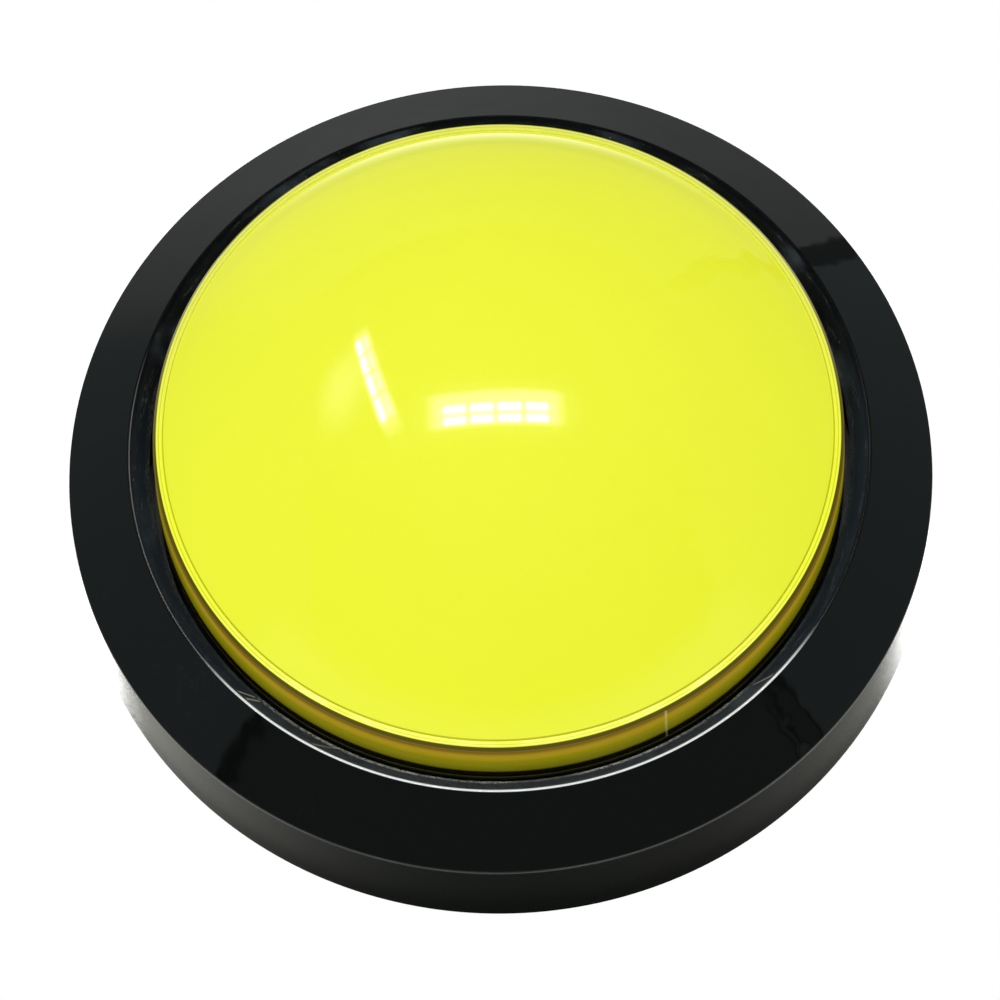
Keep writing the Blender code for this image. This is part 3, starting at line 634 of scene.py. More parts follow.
def bezel_material():
    """Polished black cone, satin side wall, bluish scuffed chamfer and a little dust, with painted shade
    on the wall and painted highlights under its top edge, on the crest and on the chamfer's lip.
    """
    s = Surface("bezel_gloss_black")
    wall = s.product(s.between(s.height, EDGE_HEIGHT - 0.05, EDGE_HEIGHT + 0.10, 1.0, 0.0),
                     s.between(s.radius, 49.0, 49.6))
    chamfer = s.product(s.between(s.radius, CREST_RADIUS - 0.05, CREST_RADIUS - 0.25),
                        s.between(s.height, WELL_TOP - 0.15, WELL_TOP))
    crest = s.band(s.radius, CREST_RADIUS - 0.02, 0.10, 0.10)
    facing = s.between(s.y, -0.022, -0.040)     # the front: lighter, bluer chamfer, more scuffs and flecks, strongest painted highlight on the lip
    chamfer_middle = 41.4
    # the crest's front is painted whitish: a painted highlight
    rubbed = s.between(s.y, -0.024, -0.031)
    # thin painted highlight line along the crest on the left
    left_crest_highlight = s.product(s.band(s.radius, CREST_RADIUS - 0.02, 0.03, 0.05),
                       s.between(s.x, -0.020, -0.034), s.between(s.y, 0.016, 0.006))
    back = s.between(s.y, -0.006, 0.016)
    cloud = s.noise(s.at, 90.0, detail=4.0)
    hair = s.math("MAXIMUM", s.scratches((900.0, 90.0, 300.0), 0.010),
                  s.scratches((70.0, 800.0, 300.0), 0.008))
    hair = s.product(hair, s.patches(45.0, 0.56, 0.70, detail=2.0))
    haze = s.product(s.patches(110.0, 0.52, 0.72, detail=4.0), chamfer)
    rubs = s.product(s.hairs(s.polar(30.0, 8.0, 8.0), 0.030),
                     s.between(s.noise(s.polar(9.0, 1.2, 1.2), 1.0), 0.52, 0.68), chamfer)
    flecks = s.specks(s.at, 0.0010, 0.00008, s.product(chamfer, s.linear(facing, 0.3, 0.3)))
    dust = s.math("MAXIMUM", s.specks(s.at, 0.0042, 0.00008, 0.16), flecks)
    nick = s.between(s.noise(s.polar(140.0, 0.0, 0.0), 1.0), 0.45, 0.75)
    # ragged bright bluish line painted along the chamfer's inner edge, strongest at the front: a painted
    # highlight
    lip_highlight = s.product(s.band(s.radius, WELL_RADIUS + 0.22, 0.12, 0.24),
                    s.between(s.height, WELL_TOP - 0.2, WELL_TOP - 0.1))
    uneven = s.between(s.noise(s.at, 260.0, detail=2.0), 0.36, 0.56, 0.25, 1.0)
    ragged = s.product(s.patches(3000.0, 0.38, 0.58), uneven)
    scuffs = s.noise(s.polar(70.0, 9.0, 9.0), 1.0, detail=4.0, rough=0.7)
    scuffs = s.product(s.between(scuffs, 0.50, 0.68), facing)

    ticks = []
    for degrees, lean in ((-136.0, 0.030), (-134.6, 0.020), (-47.5, -0.040), (-121.0, 0.045)):
        course = s.linear(s.minus(s.radius, chamfer_middle), lean, s.angle)
        tick = s.product(s.band(course, math.radians(degrees), 0.0022, 0.0020),
                         s.band(s.radius, chamfer_middle, 0.45, 0.2))
        ticks.append((tick, 0.8, (0.45, 0.46, 0.55)))
    # chamfer colour lighter and bluer towards the front, darker towards the back
    slant = s.coats(
        s.mix(back, (0.015, 0.0205, 0.046), (0.005, 0.0065, 0.013)),
        (facing, 0.6, (0.036, 0.042, 0.09)),
        (haze, 0.5, (0.07, 0.09, 0.17)),
        (rubs, 0.8, (0.15, 0.16, 0.22)),
        (scuffs, 0.55, (0.20, 0.21, 0.30)),
        *ticks,
        (lip_highlight, ragged, s.linear(facing, 0.9, 0.05), (0.68, 0.66, 1.0)),
    )
    # side wall painted darker towards the bottom and lighter towards the top: painted shade
    side = s.mix(s.between(s.height, 1.0, 12.0), (0.0054, 0.007, 0.0058), (0.0115, 0.0142, 0.012))
    # painted highlight in a band just under the wall's top edge, dimmer at the front than at the sides
    wall_edge_highlight = s.mix(s.between(s.y, -0.048, -0.036), (0.06, 0.062, 0.06), (0.15, 0.152, 0.15))
    side = s.mix(s.band(s.height, EDGE_HEIGHT - 0.15, 0.12, 0.12), side, wall_edge_highlight)
    color = s.coats(
        (0.0024, 0.0026, 0.0026),
        (wall, side),
        (chamfer, slant),
        (crest, rubbed, CREST_HIGHLIGHT_WHITE),
        (left_crest_highlight, 0.14, CREST_HIGHLIGHT_WHITE),
        (hair, 0.05, (0.12, 0.12, 0.13)),
        (dust, 0.7, (0.40, 0.40, 0.38)),
    )
    rough = s.weighted(0.015, (cloud, 0.05), (chamfer, 0.26), (wall, 0.025),
                       (s.product(crest, back), 0.5), (hair, 0.06), (dust, 0.5), clamp=True)
    normal = s.bump(
        (s.noise(s.at, 38.0, detail=1.0), 0.00005),
        (s.product(s.noise(s.at, 130.0, detail=2.0), s.minus(1.0, wall)), 0.00007),
        (s.product(s.noise(s.at, 5200.0, detail=2.0), wall), 0.00002),
        (s.product(nick, crest), 0.00003),
        (rubs, 0.00002),
    )
    level = s.weighted(0.5, (chamfer, -0.35), (wall, s.between(s.height, 1.5, 11.5, -0.42, 0.30)))
    dull = s.product(s.linear(s.between(s.y, -0.034, -0.016), 0.6, s.product(back, 0.3)),
                     s.band(s.radius, CREST_RADIUS - 0.08, 0.28, 0.10))
    level = s.product(level, s.minus(1.0, dull))
    return s.principled(Base_Color=color, Roughness=rough, IOR=1.5, Specular_IOR_Level=level,
                        Normal=normal)


def cap_material():
    """Clear yellow plastic over white. Its thick rim is drawn as cloudy plastic with painted light and
    shade: a bright ledge, a gold skirt painted with the shaded parts seen through it, painted shade in the
    groove and on the corner, and painted reflections at the back.
    """
    s = Surface("cap_clear_yellow")
    reach = s.length(s.radius, s.minus(s.height, DOME_CENTER))
    outside = s.math("MAXIMUM", s.between(reach, DOME_RADIUS - 0.9, DOME_RADIUS - 0.8),
                     s.between(s.radius, SKIRT_INSIDE + 0.2, SKIRT_INSIDE + 0.3))
    drift = s.noise(s.at, 60.0)
    streaks = s.noise(s.polar(1.2, 0.0, 7.0), 1.0)
    weld_angle = math.radians(-64.8)
    weld_off = s.math("ADD", s.gap(s.angle, weld_angle),
                      s.product(s.noise(s.at, 700.0), 0.006))
    weld = s.between(weld_off, 0.003, 0.009, 1.0, 0.0)

    # the thick rim's painted look, from the dome's edge down: painted shade in the groove, on the corner
    # and on the skirt
    groove = s.band(s.radius, LEDGE_START + 0.02, 0.05, 0.06)
    line = s.band(s.radius, LEDGE_START + 0.50, 0.03, 0.06)
    corner = s.band(s.radius, LEDGE_END + 0.20, 0.15, 0.08)
    skirt = s.between(s.radius, RIM_RADIUS - 0.12, RIM_RADIUS - 0.02)
    height = s.linear(streaks, 0.8, s.minus(s.height, 0.4))
    # the skirt's brown, gold and olive bands: painted shade, the shaded diffuser seen through the clear
    # skirt
    gold = s.mix(streaks, (0.36, 0.235, 0.009), (0.51, 0.38, 0.02))
    olive = s.mix(streaks, (0.27, 0.25, 0.003), (0.36, 0.33, 0.006))
    side = s.coats(olive, (s.between(height, 20.0, 21.0), gold),
                   (s.between(height, 21.5, 22.7), (0.20, 0.125, 0.012)))
    # dark below: painted shade of the well, with the black plunger seen through
    side = s.mix(s.between(s.height, 17.3, 17.9), (0.01, 0.01, 0.001), side)
    # thin lighter band on the skirt's lower edge: painted highlight
    side = s.coats(side, (s.band(s.height, SKIRT_BOTTOM + 0.10, 0.10, 0.10), (0.20, 0.20, 0.01)),
                   (weld, 0.38, (0.75, 0.70, 0.30)))
    # paler at the back: painted reflection of the white sheet behind the object
    back_sheet_reflection = s.between(s.y, -0.010, 0.026)
    speck = s.specks(s.at, 0.0060, 0.00011, 0.16)
    body_color = s.coats(
        s.mix(drift, (0.828, 0.882, 0.03), (0.842, 0.893, 0.036)),
        (s.between(s.radius, LEDGE_START, LEDGE_START + 0.1),
         s.mix(back_sheet_reflection, (0.86, 0.91, 0.045), (0.74, 0.78, 0.12))),
        # groove and corner darker at the front: painted shade
        (groove, 0.8, s.mix(back_sheet_reflection, (0.38, 0.38, 0.01), (0.60, 0.62, 0.10))),
        (line, 0.45, (0.38, 0.36, 0.02)),
        (corner, s.mix(back_sheet_reflection, (0.085, 0.07, 0.006), (0.24, 0.24, 0.09))),
        (skirt, side),
        (speck, 0.8, (0.30, 0.30, 0.03)),
    )

    smudge = s.patches(70.0, 0.5, 0.75, detail=5.0, rough=0.6)
    rough = s.weighted(0.02, (smudge, 0.03), (s.scratches((400.0, 60.0, 200.0), 0.006), 0.03))
    swell = s.bump((s.noise(s.at, 42.0, detail=2.0), 0.00005))
    tint = s.mix(drift, (0.98, 0.994, 0.455), (0.985, 0.998, 0.47))
    tint = s.coats(tint, (speck, 0.7, (0.62, 0.62, 0.24)))
    clear = s.get("BsdfTransparent", {"Color": tint})
    cloudy = s.get("BsdfDiffuse", {"Color": body_color})
    grazing = s.between(s.add("LayerWeight").outputs["Facing"], 0.55, 0.85)
    thick = s.math("MAXIMUM", s.between(s.radius, 22.0, 38.0, 0.55, 1.0), grazing)
    path = s.add("LightPath").outputs
    watched = s.math("MAXIMUM", path["Is Camera Ray"], path["Is Glossy Ray"])
    body = s.blend(s.product(thick, outside, watched), clear, cloudy)
    fresnel = s.get("Fresnel", {"IOR": 1.5, "Normal": swell})
    gloss = s.get("BsdfGlossy", {"Color": WHITE, "Roughness": rough, "Normal": swell})
    dull = s.between(s.radius, LEDGE_START - 0.05, LEDGE_START + 0.05, 1.0, 0.22)
    shader = s.blend(s.product(fresnel, s.front, dull), body, gloss)
    dust = s.product(s.specks(s.at, 0.0034, 0.00005, 0.08), s.front, 0.5)
    lint = s.get("BsdfDiffuse", {"Color": (0.75, 0.74, 0.55)})
    return s.finish(s.blend(dust, shader, lint))


def diffuser_material():
    """Milky white plastic with a faint mottle."""
    s = Surface("diffuser_milky_white")
    mottle = s.noise(s.at, 160.0, detail=4.0)
    return s.principled(
        Base_Color=s.mix(mottle, (0.90, 0.895, 0.87), (0.92, 0.915, 0.90)),
        Roughness=s.linear(mottle, 0.2, 0.35),
        IOR=1.45,
        Specular_IOR_Level=0.3,
        Normal=s.bump((s.noise(s.at, 2400.0, detail=2.0), 0.000008)),
    )


def scaled(color, factor, lift=0.0):
    """A colour made brighter or darker, at most 1."""
    return tuple(min(1.0, value * factor + lift) for value in color)


def moulded(name, color, roughness, grain=0.00001, wear=0.5, dusty=0.5):
    """Moulded plastic: eroded grain, flow marks, rubbed edges, hair scratches and dust."""
    s = Surface(name)
    cloud = s.noise(s.at, 120.0, detail=4.0)
    flow = s.noise(s.polar(2.0, 0.5, 0.35), 1.0, distortion=0.6)
    worn = s.product(s.edges(), s.patches(420.0, 0.40, 0.66))
    dust = s.math("MAXIMUM", s.specks(s.at, 0.0021, 0.00007, 0.20),
                  s.specks(s.at, 0.0009, 0.00003, 0.25))
    hair = s.product(s.scratches((500.0, 60.0, 240.0), 0.008), s.between(cloud, 0.50, 0.70))
    rubbed = scaled(color, 0.6, 0.12)
    tone = s.linear(flow, 0.5, s.product(cloud, 0.5))
    shade = s.coats(
        s.mix(tone, scaled(color, 0.82), scaled(color, 1.15)),
        (worn, wear, rubbed),
        (hair, 0.25, rubbed),
        (dust, dusty, (0.36, 0.35, 0.32)),
    )
    rough = s.weighted(roughness - 0.10, (cloud, 0.20), (worn, -0.10), (dust, 0.3), clamp=True)
    normal = s.bump((s.noise(s.at, 3600.0, rough=0.6), grain), (hair, -0.000005))
    return s.principled(Base_Color=shade, Roughness=rough, IOR=1.5, Normal=normal)


def metal(name, color, roughness, lines, tarnish=(0.30, 0.26, 0.20), stain=0.35):
    """Plated or drawn metal: working lines, stains, rubbed edges and fine scratches."""
    s = Surface(name)
    cloud = s.noise(s.at, 260.0, detail=5.0, rough=0.6)
    work = s.noise(s.stretch(s.at, lines), 1.0)
    patch = s.patches(150.0, 0.50, 0.72, detail=5.0, rough=0.65)
    worn = s.product(s.edges(), s.patches(500.0, 0.35, 0.60))
    hair = s.product(s.scratches((300.0, 900.0, 700.0), 0.010), s.between(cloud, 0.45, 0.65))
    shade = s.coats(
        s.mix(s.linear(work, 0.6, s.product(cloud, 0.4)), scaled(color, 0.86), color),
        (patch, stain, tarnish),
        (worn, 0.5, scaled(color, 1.25)),
    )
    rough = s.weighted(roughness - 0.08, (cloud, 0.22), (patch, 0.18), (worn, -0.10), clamp=True)
    normal = s.bump((work, 0.000012), (hair, -0.000004))
    return s.principled(Base_Color=shade, Metallic=1.0, Roughness=rough, Normal=normal)


def lens_material():
    """Frosted lamp lens, slightly uneven."""
    s = Surface("lamp_frosted_lens")
    mottle = s.noise(s.at, 900.0, detail=4.0)
    return s.principled(
        Base_Color=s.mix(mottle, (0.80, 0.81, 0.78), (0.90, 0.91, 0.88)),
        Roughness=s.linear(mottle, 0.2, 0.28),
        Transmission_Weight=0.4,
        IOR=1.45,
        Normal=s.bump((mottle, 0.00001)),
    )


# ---- housing ----

def under_cone(radius):
    """Height of the underside of the bezel's sloping top."""
    drop = BEZEL_WALL * math.hypot(1.0, CONE_SLOPE)
    return CREST_HEIGHT - drop - CONE_SLOPE * (radius - CREST_RADIUS)


def make_bezel(material):
    """The cover with softly rounded edges, a fine crest and four screw bosses inside."""
    well_outside = WELL_RADIUS + 2.0
    wall_inside = FOOT_RADIUS - BEZEL_WALL
    boss_top = 14.8
    rib_top = 11.8
    hole_top = 11.5
    corners = [
        (CREST_RADIUS, CREST_HEIGHT + 0.058, 0.22),
        (EDGE_RADIUS + 0.01, EDGE_HEIGHT + 0.01, 0.45),
        (FOOT_RADIUS, 0.0, 0.15), (wall_inside, 0.0, 0.15),
        (wall_inside - 0.3, under_cone(wall_inside - 0.3), 0.5),
        (well_outside, under_cone(well_outside), 0.5),
        (well_outside, WELL_BOTTOM, 0.2), (WELL_RADIUS, WELL_BOTTOM, 0.2),
        (WELL_RADIUS, WELL_TOP, 0.12),
    ]
    bezel = lathe("bezel", corners, LARGE, steps=7, closed=True)
    bottom = PLATE_TOP + 0.3
    added = []
    for x, y, degrees in SCREW_PLACES:
        added.append(moved(rod(BOSS_RADIUS, bottom, boss_top, fillet=0.15), (x, y, 0.0)))
        rib = box((0.0, -0.7, bottom), (4.8, 0.7, rib_top))
        added.append(moved(rib, (x, y, 0.0), z=degrees))
    combine(bezel, "UNION", *added)
    combine(bezel, "DIFFERENCE", *rods(SCREW_PLACES, SCREW_HOLE, -1.0, hole_top))
    place(bezel, "housing", material, "bezel_ring")


def make_base(material):
    """Floor plate with ribs, screw seats and posts, and the threaded stem with its grooves."""
    guide_radius = 11.3
    guide_top = 7.6
    recess = 1.0
    recess_outside = 41.0
    recess_inside = 17.0
    chamfer = 0.8
    corners = [
        (PLATE_RADIUS, PLATE_TOP, 0.25), (PLATE_RADIUS, 0.0, 0.25),
        (recess_outside, 0.0, 0.15), (recess_outside, recess, 0.2),
        (recess_inside, recess, 0.2), (recess_inside, 0.0, 0.15),
        (THREAD_ROOT, 0.0, 0.0), (THREAD_ROOT, THREAD_START - 0.9, 0.0),
        (STEM_RADIUS, THREAD_START - 1.6, 0.1), (STEM_RADIUS, STEM_END + chamfer, 0.1),
        (STEM_RADIUS - chamfer, STEM_END, 0.1), (STEM_BORE, STEM_END, 0.15),
        (STEM_BORE, guide_top, 0.15), (guide_radius, guide_top, 0.4),
        (guide_radius, PLATE_TOP, 0.3),
    ]
    base = lathe("base", corners, MEDIUM, steps=4, closed=True)
    buried = 0.3                                # how deep pieces reach into each other to unite
    added = [ridge(THREAD_ROOT - buried, STEM_RADIUS, THREAD_START, THREAD_END,
                   THREAD_FOOT + buried * 0.6, THREAD_CREST)]
    for _, _, degrees in circle_places(1.0, 8, 22.5):
        rib = box((recess_inside - 1.0, -0.8, 0.15), (recess_outside + 1.0, 0.8, 1.3), 0.1)
        added.append(moved(rib, z=degrees))
    combine(base, "UNION", *added, *rods(POST_PLACES, POST_RADIUS, 1.6, POST_TOP, fillet=0.3))
    cuts = []
    for spot in SCREW_PLACES:
        cuts += rods([spot], SCREW_HOLE, -2.0, 5.0) + rods([spot], SCREW_SEAT, -2.0, 1.5)
    inner = STEM_RADIUS - GROOVE_DEPTH
    outer = STEM_RADIUS + 1.0
    for start in (0.0, math.pi):
        locked = start - math.radians(10.5)     # where the lug stands when twisted home
        opened = start + math.radians(55.5)
        entry = opened - math.radians(21.0)
        cuts.append(sector(inner, outer, GROOVE_BOTTOM, GROOVE_TOP, locked, opened))
        cuts.append(sector(inner, outer, STEM_END - 1.0, GROOVE_TOP - 0.1, entry, opened))
    combine(base, "DIFFERENCE", *cuts)
    place(base, "housing", material, "base_stem")


def cross_recess(width, length, bottom, top):
    """Two crossed bars, for cutting a screw's recess."""
    return [
        moved(box((-length, -width, bottom), (length, width, top)), z=degrees)
        for degrees in (0.0, 90.0)
    ]


def make_base_screws(material):
    """Four pan-head screws with cross recesses, seen from below."""
    corners = [(0.0, 10.5, 0.0), (0.6, 10.5, 0.1), (1.0, 9.8, 0.1), (1.0, 1.2, 0.0),
               (2.2, 1.2, 0.1), (2.2, 0.65, 0.3), (1.7, 0.3, 0.4), (0.0, 0.3, 0.0)]
    turns = (12.0, 71.0, -24.0, 38.0)
    for index, ((x, y, _), turn) in enumerate(zip(SCREW_PLACES, turns), start=1):
        screw = lathe(f"base_screw_fine_{index}", corners)
        combine(screw, "DIFFERENCE", *cross_recess(0.22, 1.15, 0.0, 0.85))
        moved(screw, (x, y, 0.0), z=turn)
        place(screw, "housing", material, f"base_screw_{index}")


def make_spring(material):
    """Compression spring with closed ends."""
    low = low_of("return_spring").z + SPRING_WIRE / 2
    high = high_of("return_spring").z - SPRING_WIRE / 2
    per_turn = 48
    ring = 16
    closed_turns = 1.0                          # each end lies flat for about a turn
    closed_rise = SPRING_WIRE * 1.15
    free_turns = SPRING_TURNS - 2 * closed_turns
    free_rise = (high - low - 2 * closed_rise) / free_turns
    sections = []
    for i in range(int(SPRING_TURNS * per_turn) + 1):
        turns = i / per_turn
        height = low + closed_rise * min(turns, closed_turns)
        height += free_rise * min(max(turns - closed_turns, 0.0), free_turns)
        height += closed_rise * max(turns - closed_turns - free_turns, 0.0)
        angle = math.tau * turns
        outward = Vector((math.cos(angle), math.sin(angle), 0.0))
        center = outward * SPRING_RADIUS + Vector((0.0, 0.0, height))
        section = []
        for k in range(ring):
            around = math.tau * k / ring
            offset = outward * math.cos(around) + Vector((0.0, 0.0, math.sin(around)))
            section.append(center + offset * SPRING_WIRE / 2)
        sections.append(section)
    spring = sweep("spring_fine", sections)
    place(spring, "housing", material, "return_spring")
    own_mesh(spring)


# ---- dome and plunger ----

def make_cap(material):
    """The transparent dome with its ledge and skirt."""
    corners = sphere_arc(DOME_RADIUS, DOME_CENTER, 0.0, LEDGE_START, 64)
    corners += [
        (LEDGE_START + 0.06, LEDGE_HEIGHT - 0.02, 0.03),
        (LEDGE_START + 0.14, LEDGE_HEIGHT + 0.06, 0.04),
        (LEDGE_END, LEDGE_HEIGHT, 0.15), (RIM_RADIUS, RIM_HEIGHT, 0.25),
        (SKIRT_RADIUS, SKIRT_BOTTOM, 0.15), (SKIRT_INSIDE, SKIRT_BOTTOM, 0.15),
    ]
    corners += sphere_arc(DOME_RADIUS - CAP_WALL, DOME_CENTER, SKIRT_INSIDE, 0.0, 64)
    place(lathe("cap", corners, LARGE), "dome", material, "dome_cap")


def make_diffuser(material):
    """The white dome under the cap."""
    outer = DOME_RADIUS - CAP_WALL - 0.3
    inside = DIFFUSER_RADIUS - 1.1
    corners = sphere_arc(outer, DOME_CENTER, 0.0, DIFFUSER_RADIUS, 48)
    corners += [(DIFFUSER_RADIUS, DIFFUSER_BOTTOM, 0.15), (inside, DIFFUSER_BOTTOM, 0.15)]
    corners += sphere_arc(outer - 1.2, DOME_CENTER, inside, 0.0, 48)
    place(lathe("diffuser_fine", corners, LARGE), "dome", material, "diffuser")


def make_plunger(material):
    """Carrier of the dome: rim with spigot, flange, spring pocket and guide tube."""
    rim_top = SKIRT_BOTTOM - 0.3
    shelf_radius = DIFFUSER_RADIUS + 0.1
    pocket_outside = POCKET_RADIUS + 1.8
    roof = POCKET_TOP + 1.9
    skirt_inside = 37.7
    neck_inside = 34.8
    spigot_radius = 36.1
    spigot_top = 20.4
    corners = [
        (SKIRT_RADIUS, rim_top, 0.2), (SKIRT_RADIUS, FLANGE_TOP, 0.2),
        (FLANGE_RADIUS, FLANGE_TOP, 0.3), (FLANGE_RADIUS, FLANGE_BOTTOM, 0.3),
        (POCKET_RADIUS, FLANGE_BOTTOM, 0.4), (POCKET_RADIUS, POCKET_TOP, 0.3),
        (TUBE_RADIUS, POCKET_TOP, 0.3), (TUBE_RADIUS, TUBE_END, 0.4),
        (TUBE_BORE, TUBE_END, 0.3), (TUBE_BORE, roof, 0.3),
        (pocket_outside, roof, 0.5), (pocket_outside, FLANGE_TOP, 0.4),
        (skirt_inside, FLANGE_TOP, 0.3), (skirt_inside, 12.5, 0.3),
        (neck_inside, 14.3, 0.4), (neck_inside, spigot_top, 0.2),
        (spigot_radius, spigot_top, 0.2), (spigot_radius, SHELF_HEIGHT, 0.1),
        (shelf_radius, SHELF_HEIGHT, 0.1), (shelf_radius, rim_top, 0.1),
    ]
    plunger = lathe("plunger_fine", corners, MEDIUM, steps=3, closed=True)
    combine(plunger, "DIFFERENCE", *rods(POST_PLACES, POST_RADIUS + 0.3, 5.0, 12.5))
    place(plunger, "dome", material, "plunger")


# ---- nut and washer ----

def make_washer(material):
    """Stamped washer: rounded on one side, sharper on the other."""
    bottom = low_of("clamp_washer").z
    top = high_of("clamp_washer").z
    outside = high_of("clamp_washer").x
    bore = STEM_RADIUS + 0.3
    corners = [(outside, top, 0.35), (outside, bottom, 0.12), (bore, bottom, 0.12), (bore, top, 0.35)]
    washer = lathe("washer_fine", corners, MEDIUM, closed=True)
    place(washer, "washer", material, "clamp_washer")


def make_nut(material):
    """Hexagon nut with turned-off corners and a threaded bore."""
    bottom = low_of("mounting_nut").z
    top = high_of("mounting_nut").z
    flats = 2 * high_of("mounting_nut").x
    corner = flats / 2 / math.cos(math.radians(30))
    work = bmesh.new()
    bmesh.ops.create_cone(work, cap_ends=True, segments=6, radius1=corner, radius2=corner,
                          depth=top - bottom)
    bmesh.ops.translate(work, verts=work.verts, vec=(0.0, 0.0, (top + bottom) / 2))
    soften(work, 0.5, 3)
    nut = solid("nut_fine", work)
    turned_off = 1.9                            # how far the faces' corners are turned off
    crown = [
        (0.0, top + 0.1, 0.0), (corner - turned_off, top + 0.1, 0.2),
        (corner - 0.2, top - 0.9, 0.2), (corner - 0.2, bottom + 0.9, 0.2),
        (corner - turned_off, bottom - 0.1, 0.2), (0.0, bottom - 0.1, 0.0),
    ]
    combine(nut, "INTERSECT", lathe("crown", crown, MEDIUM))
    bore_radius = STEM_RADIUS + 0.3
    bore = [
        (0.0, top + 1.0, 0.0), (bore_radius + 1.5, top + 1.0, 0.0),
        (bore_radius, top - 0.6, 0.1), (bore_radius, bottom + 0.6, 0.1),
        (bore_radius + 1.5, bottom - 1.0, 0.0), (0.0, bottom - 1.0, 0.0),
    ]
    combine(nut, "DIFFERENCE", lathe("bore", bore, MEDIUM))
    first = THREAD_START + THREAD_PITCH / 2
    while first < bottom + 1.3:
        first += THREAD_PITCH
    combine(nut, "UNION", ridge(bore_radius + 0.3, THREAD_ROOT + 0.35, first, top - 1.3, 1.0,
                                THREAD_CREST))
    place(nut, "nut", material, "mounting_nut")


# ---- lamp holder and lamp ----

def make_holder(material):
    """Twist-lock holder: ribbed collar with two lugs, floor, lamp post and switch bracket."""
    corners = [
        (0.0, LAMP_POST_TOP, 0.0), (LAMP_POST_RADIUS, LAMP_POST_TOP, 0.3),
        (LAMP_POST_RADIUS, FLOOR_TOP, 0.4), (COLLAR_BORE, FLOOR_TOP, 0.4),
        (COLLAR_BORE, COLLAR_TOP, 0.3), (COLLAR_RADIUS, COLLAR_TOP, 0.5),
        (COLLAR_RADIUS, FLOOR_BOTTOM, 0.5), (0.0, FLOOR_BOTTOM, 0.0),
    ]
    holder = lathe("holder_fine", corners, MEDIUM, steps=4)
    half = math.radians(8.5)
    added = [
        sector(STEM_RADIUS - GROOVE_DEPTH + 0.3, COLLAR_BORE + 1.2, GROOVE_BOTTOM + 0.3,
               GROOVE_TOP - 0.3, middle - half, middle + half)
        for middle in (0.0, math.pi)
    ]
    for _, _, degrees in circle_places(1.0, 24, 7.5):
        rib = box((COLLAR_RADIUS - 0.5, -0.45, FLOOR_BOTTOM + 1.2),
                  (COLLAR_RADIUS + 0.3, 0.45, COLLAR_TOP - 1.4), 0.2)
        added.append(moved(rib, z=degrees))
    combine(holder, "UNION", *added)
    window = box((BRACKET_FACE + 0.2, -30.0, FLOOR_BOTTOM - 10.0), (30.0, 30.0, -42.0))
    combine(holder, "DIFFERENCE", window)
    block = box((-5.5, -9.0, BRACKET_BOTTOM + 2.5), (BRACKET_FACE, 9.0, FLOOR_BOTTOM + 1.0), 0.5)
    bracket = box((0.6, -SWITCH_LENGTH, BRACKET_BOTTOM),
                  (BRACKET_FACE - 0.1, SWITCH_LENGTH, FLOOR_BOTTOM + 0.8), 0.4)
    webs = [
        box((-4.4, side * 7.0 - 0.6, FLOOR_BOTTOM - 3.0), (-9.5, side * 7.0 + 0.6, FLOOR_BOTTOM + 0.5))
        for side in SIDES
    ]
    combine(holder, "UNION", block, bracket, *webs)
    cuts = [box((-2.0, -5.1, BRACKET_BOTTOM - 2.0), (2.0, 5.1, LAMP_POST_TOP + 2.0))]
    for side in SIDES:
        hole = moved(rod(SWITCH_SCREW_HOLE, -4.0, 6.0), y=90.0)
        cuts.append(moved(hole, (0.0, side * SWITCH_SCREW_Y, SWITCH_SCREW_Z)))
    combine(holder, "DIFFERENCE", *cuts)
    place(holder, "holder", material, "lamp_holder")


def make_lamp(base_material, glass):
    """Wedge-base lamp under its frosted lens."""
    body_top = high_of("lamp_base").z
    corners = [(0.0, body_top, 0.0), (5.0, body_top, 0.3),
               (5.0, LAMP_POST_TOP + 0.3, 0.2), (0.0, LAMP_POST_TOP + 0.3, 0.0)]
    base = lathe("lamp_base_fine", corners)
    wedge = box((-1.1, -3.6, LAMP_POST_TOP - 9.0), (1.1, 3.6, LAMP_POST_TOP + 1.3), 0.2)
    combine(base, "UNION", wedge)
    place(base, "holder", base_material, "lamp_base")
    radius = high_of("lamp_lens").x
    bottom = low_of("lamp_lens").z
    shoulder = high_of("lamp_lens").z - radius
    corners = sphere_arc(radius, shoulder, 0.0, radius, 16)
    corners += [(radius, bottom, 0.2), (0.0, bottom, 0.0)]
    place(lathe("lamp_lens_fine", corners), "holder", glass, "lamp_lens")


def blade_outline(middle, low, high, half, tip_half, taper):
    """Strip between two heights, with a tapered lower end."""
    return [
        (middle - half, high), (middle - half, low + taper), (middle - tip_half, low),
        (middle + tip_half, low), (middle + half, low + taper), (middle + half, high),
    ]


def make_contacts(material):
    """Two strips down the post's channel, pointed where a connector slides on."""
    for name in ("lamp_contact_left", "lamp_contact_right"):
        low, high = low_of(name), high_of(name)
        outline = blade_outline(0.0, low.z, high.z, 1.8, 1.1, 1.2)
        strip = plate(name + "_fine", outline, low.y, high.y, 0.08)
        moved(strip, z=90.0)
        for vert in strip.data.vertices:
            vert.co.x = -vert.co.x
        strip.data.flip_normals()
        hole = moved(rod(0.8, -8.0, 8.0), (0.0, 0.0, low.z + 2.5), x=90.0)
        combine(strip, "DIFFERENCE", hole)
        place(strip, "holder", material, name)


# ---- microswitch ----

def across_switch(radius, reach, y, z):
    """Cylinder along X through a place of the switch."""
    return moved(rod(radius, -reach, reach), (SWITCH_X, y, z), y=90.0)


def switch_screw_holes():
    """Cylinders through both screw places."""
    return [
        across_switch(SWITCH_SCREW_HOLE, 10.0, side * SWITCH_SCREW_Y, SWITCH_SCREW_Z)
        for side in SIDES
    ]


def switch_box(node, fillet):
    """Box of a switch half, as wide as its CAD node."""
    return box((low_of(node).x, -SWITCH_LENGTH, SWITCH_BOTTOM),
               (high_of(node).x, SWITCH_LENGTH, SWITCH_TOP), fillet, name=node + "_fine")


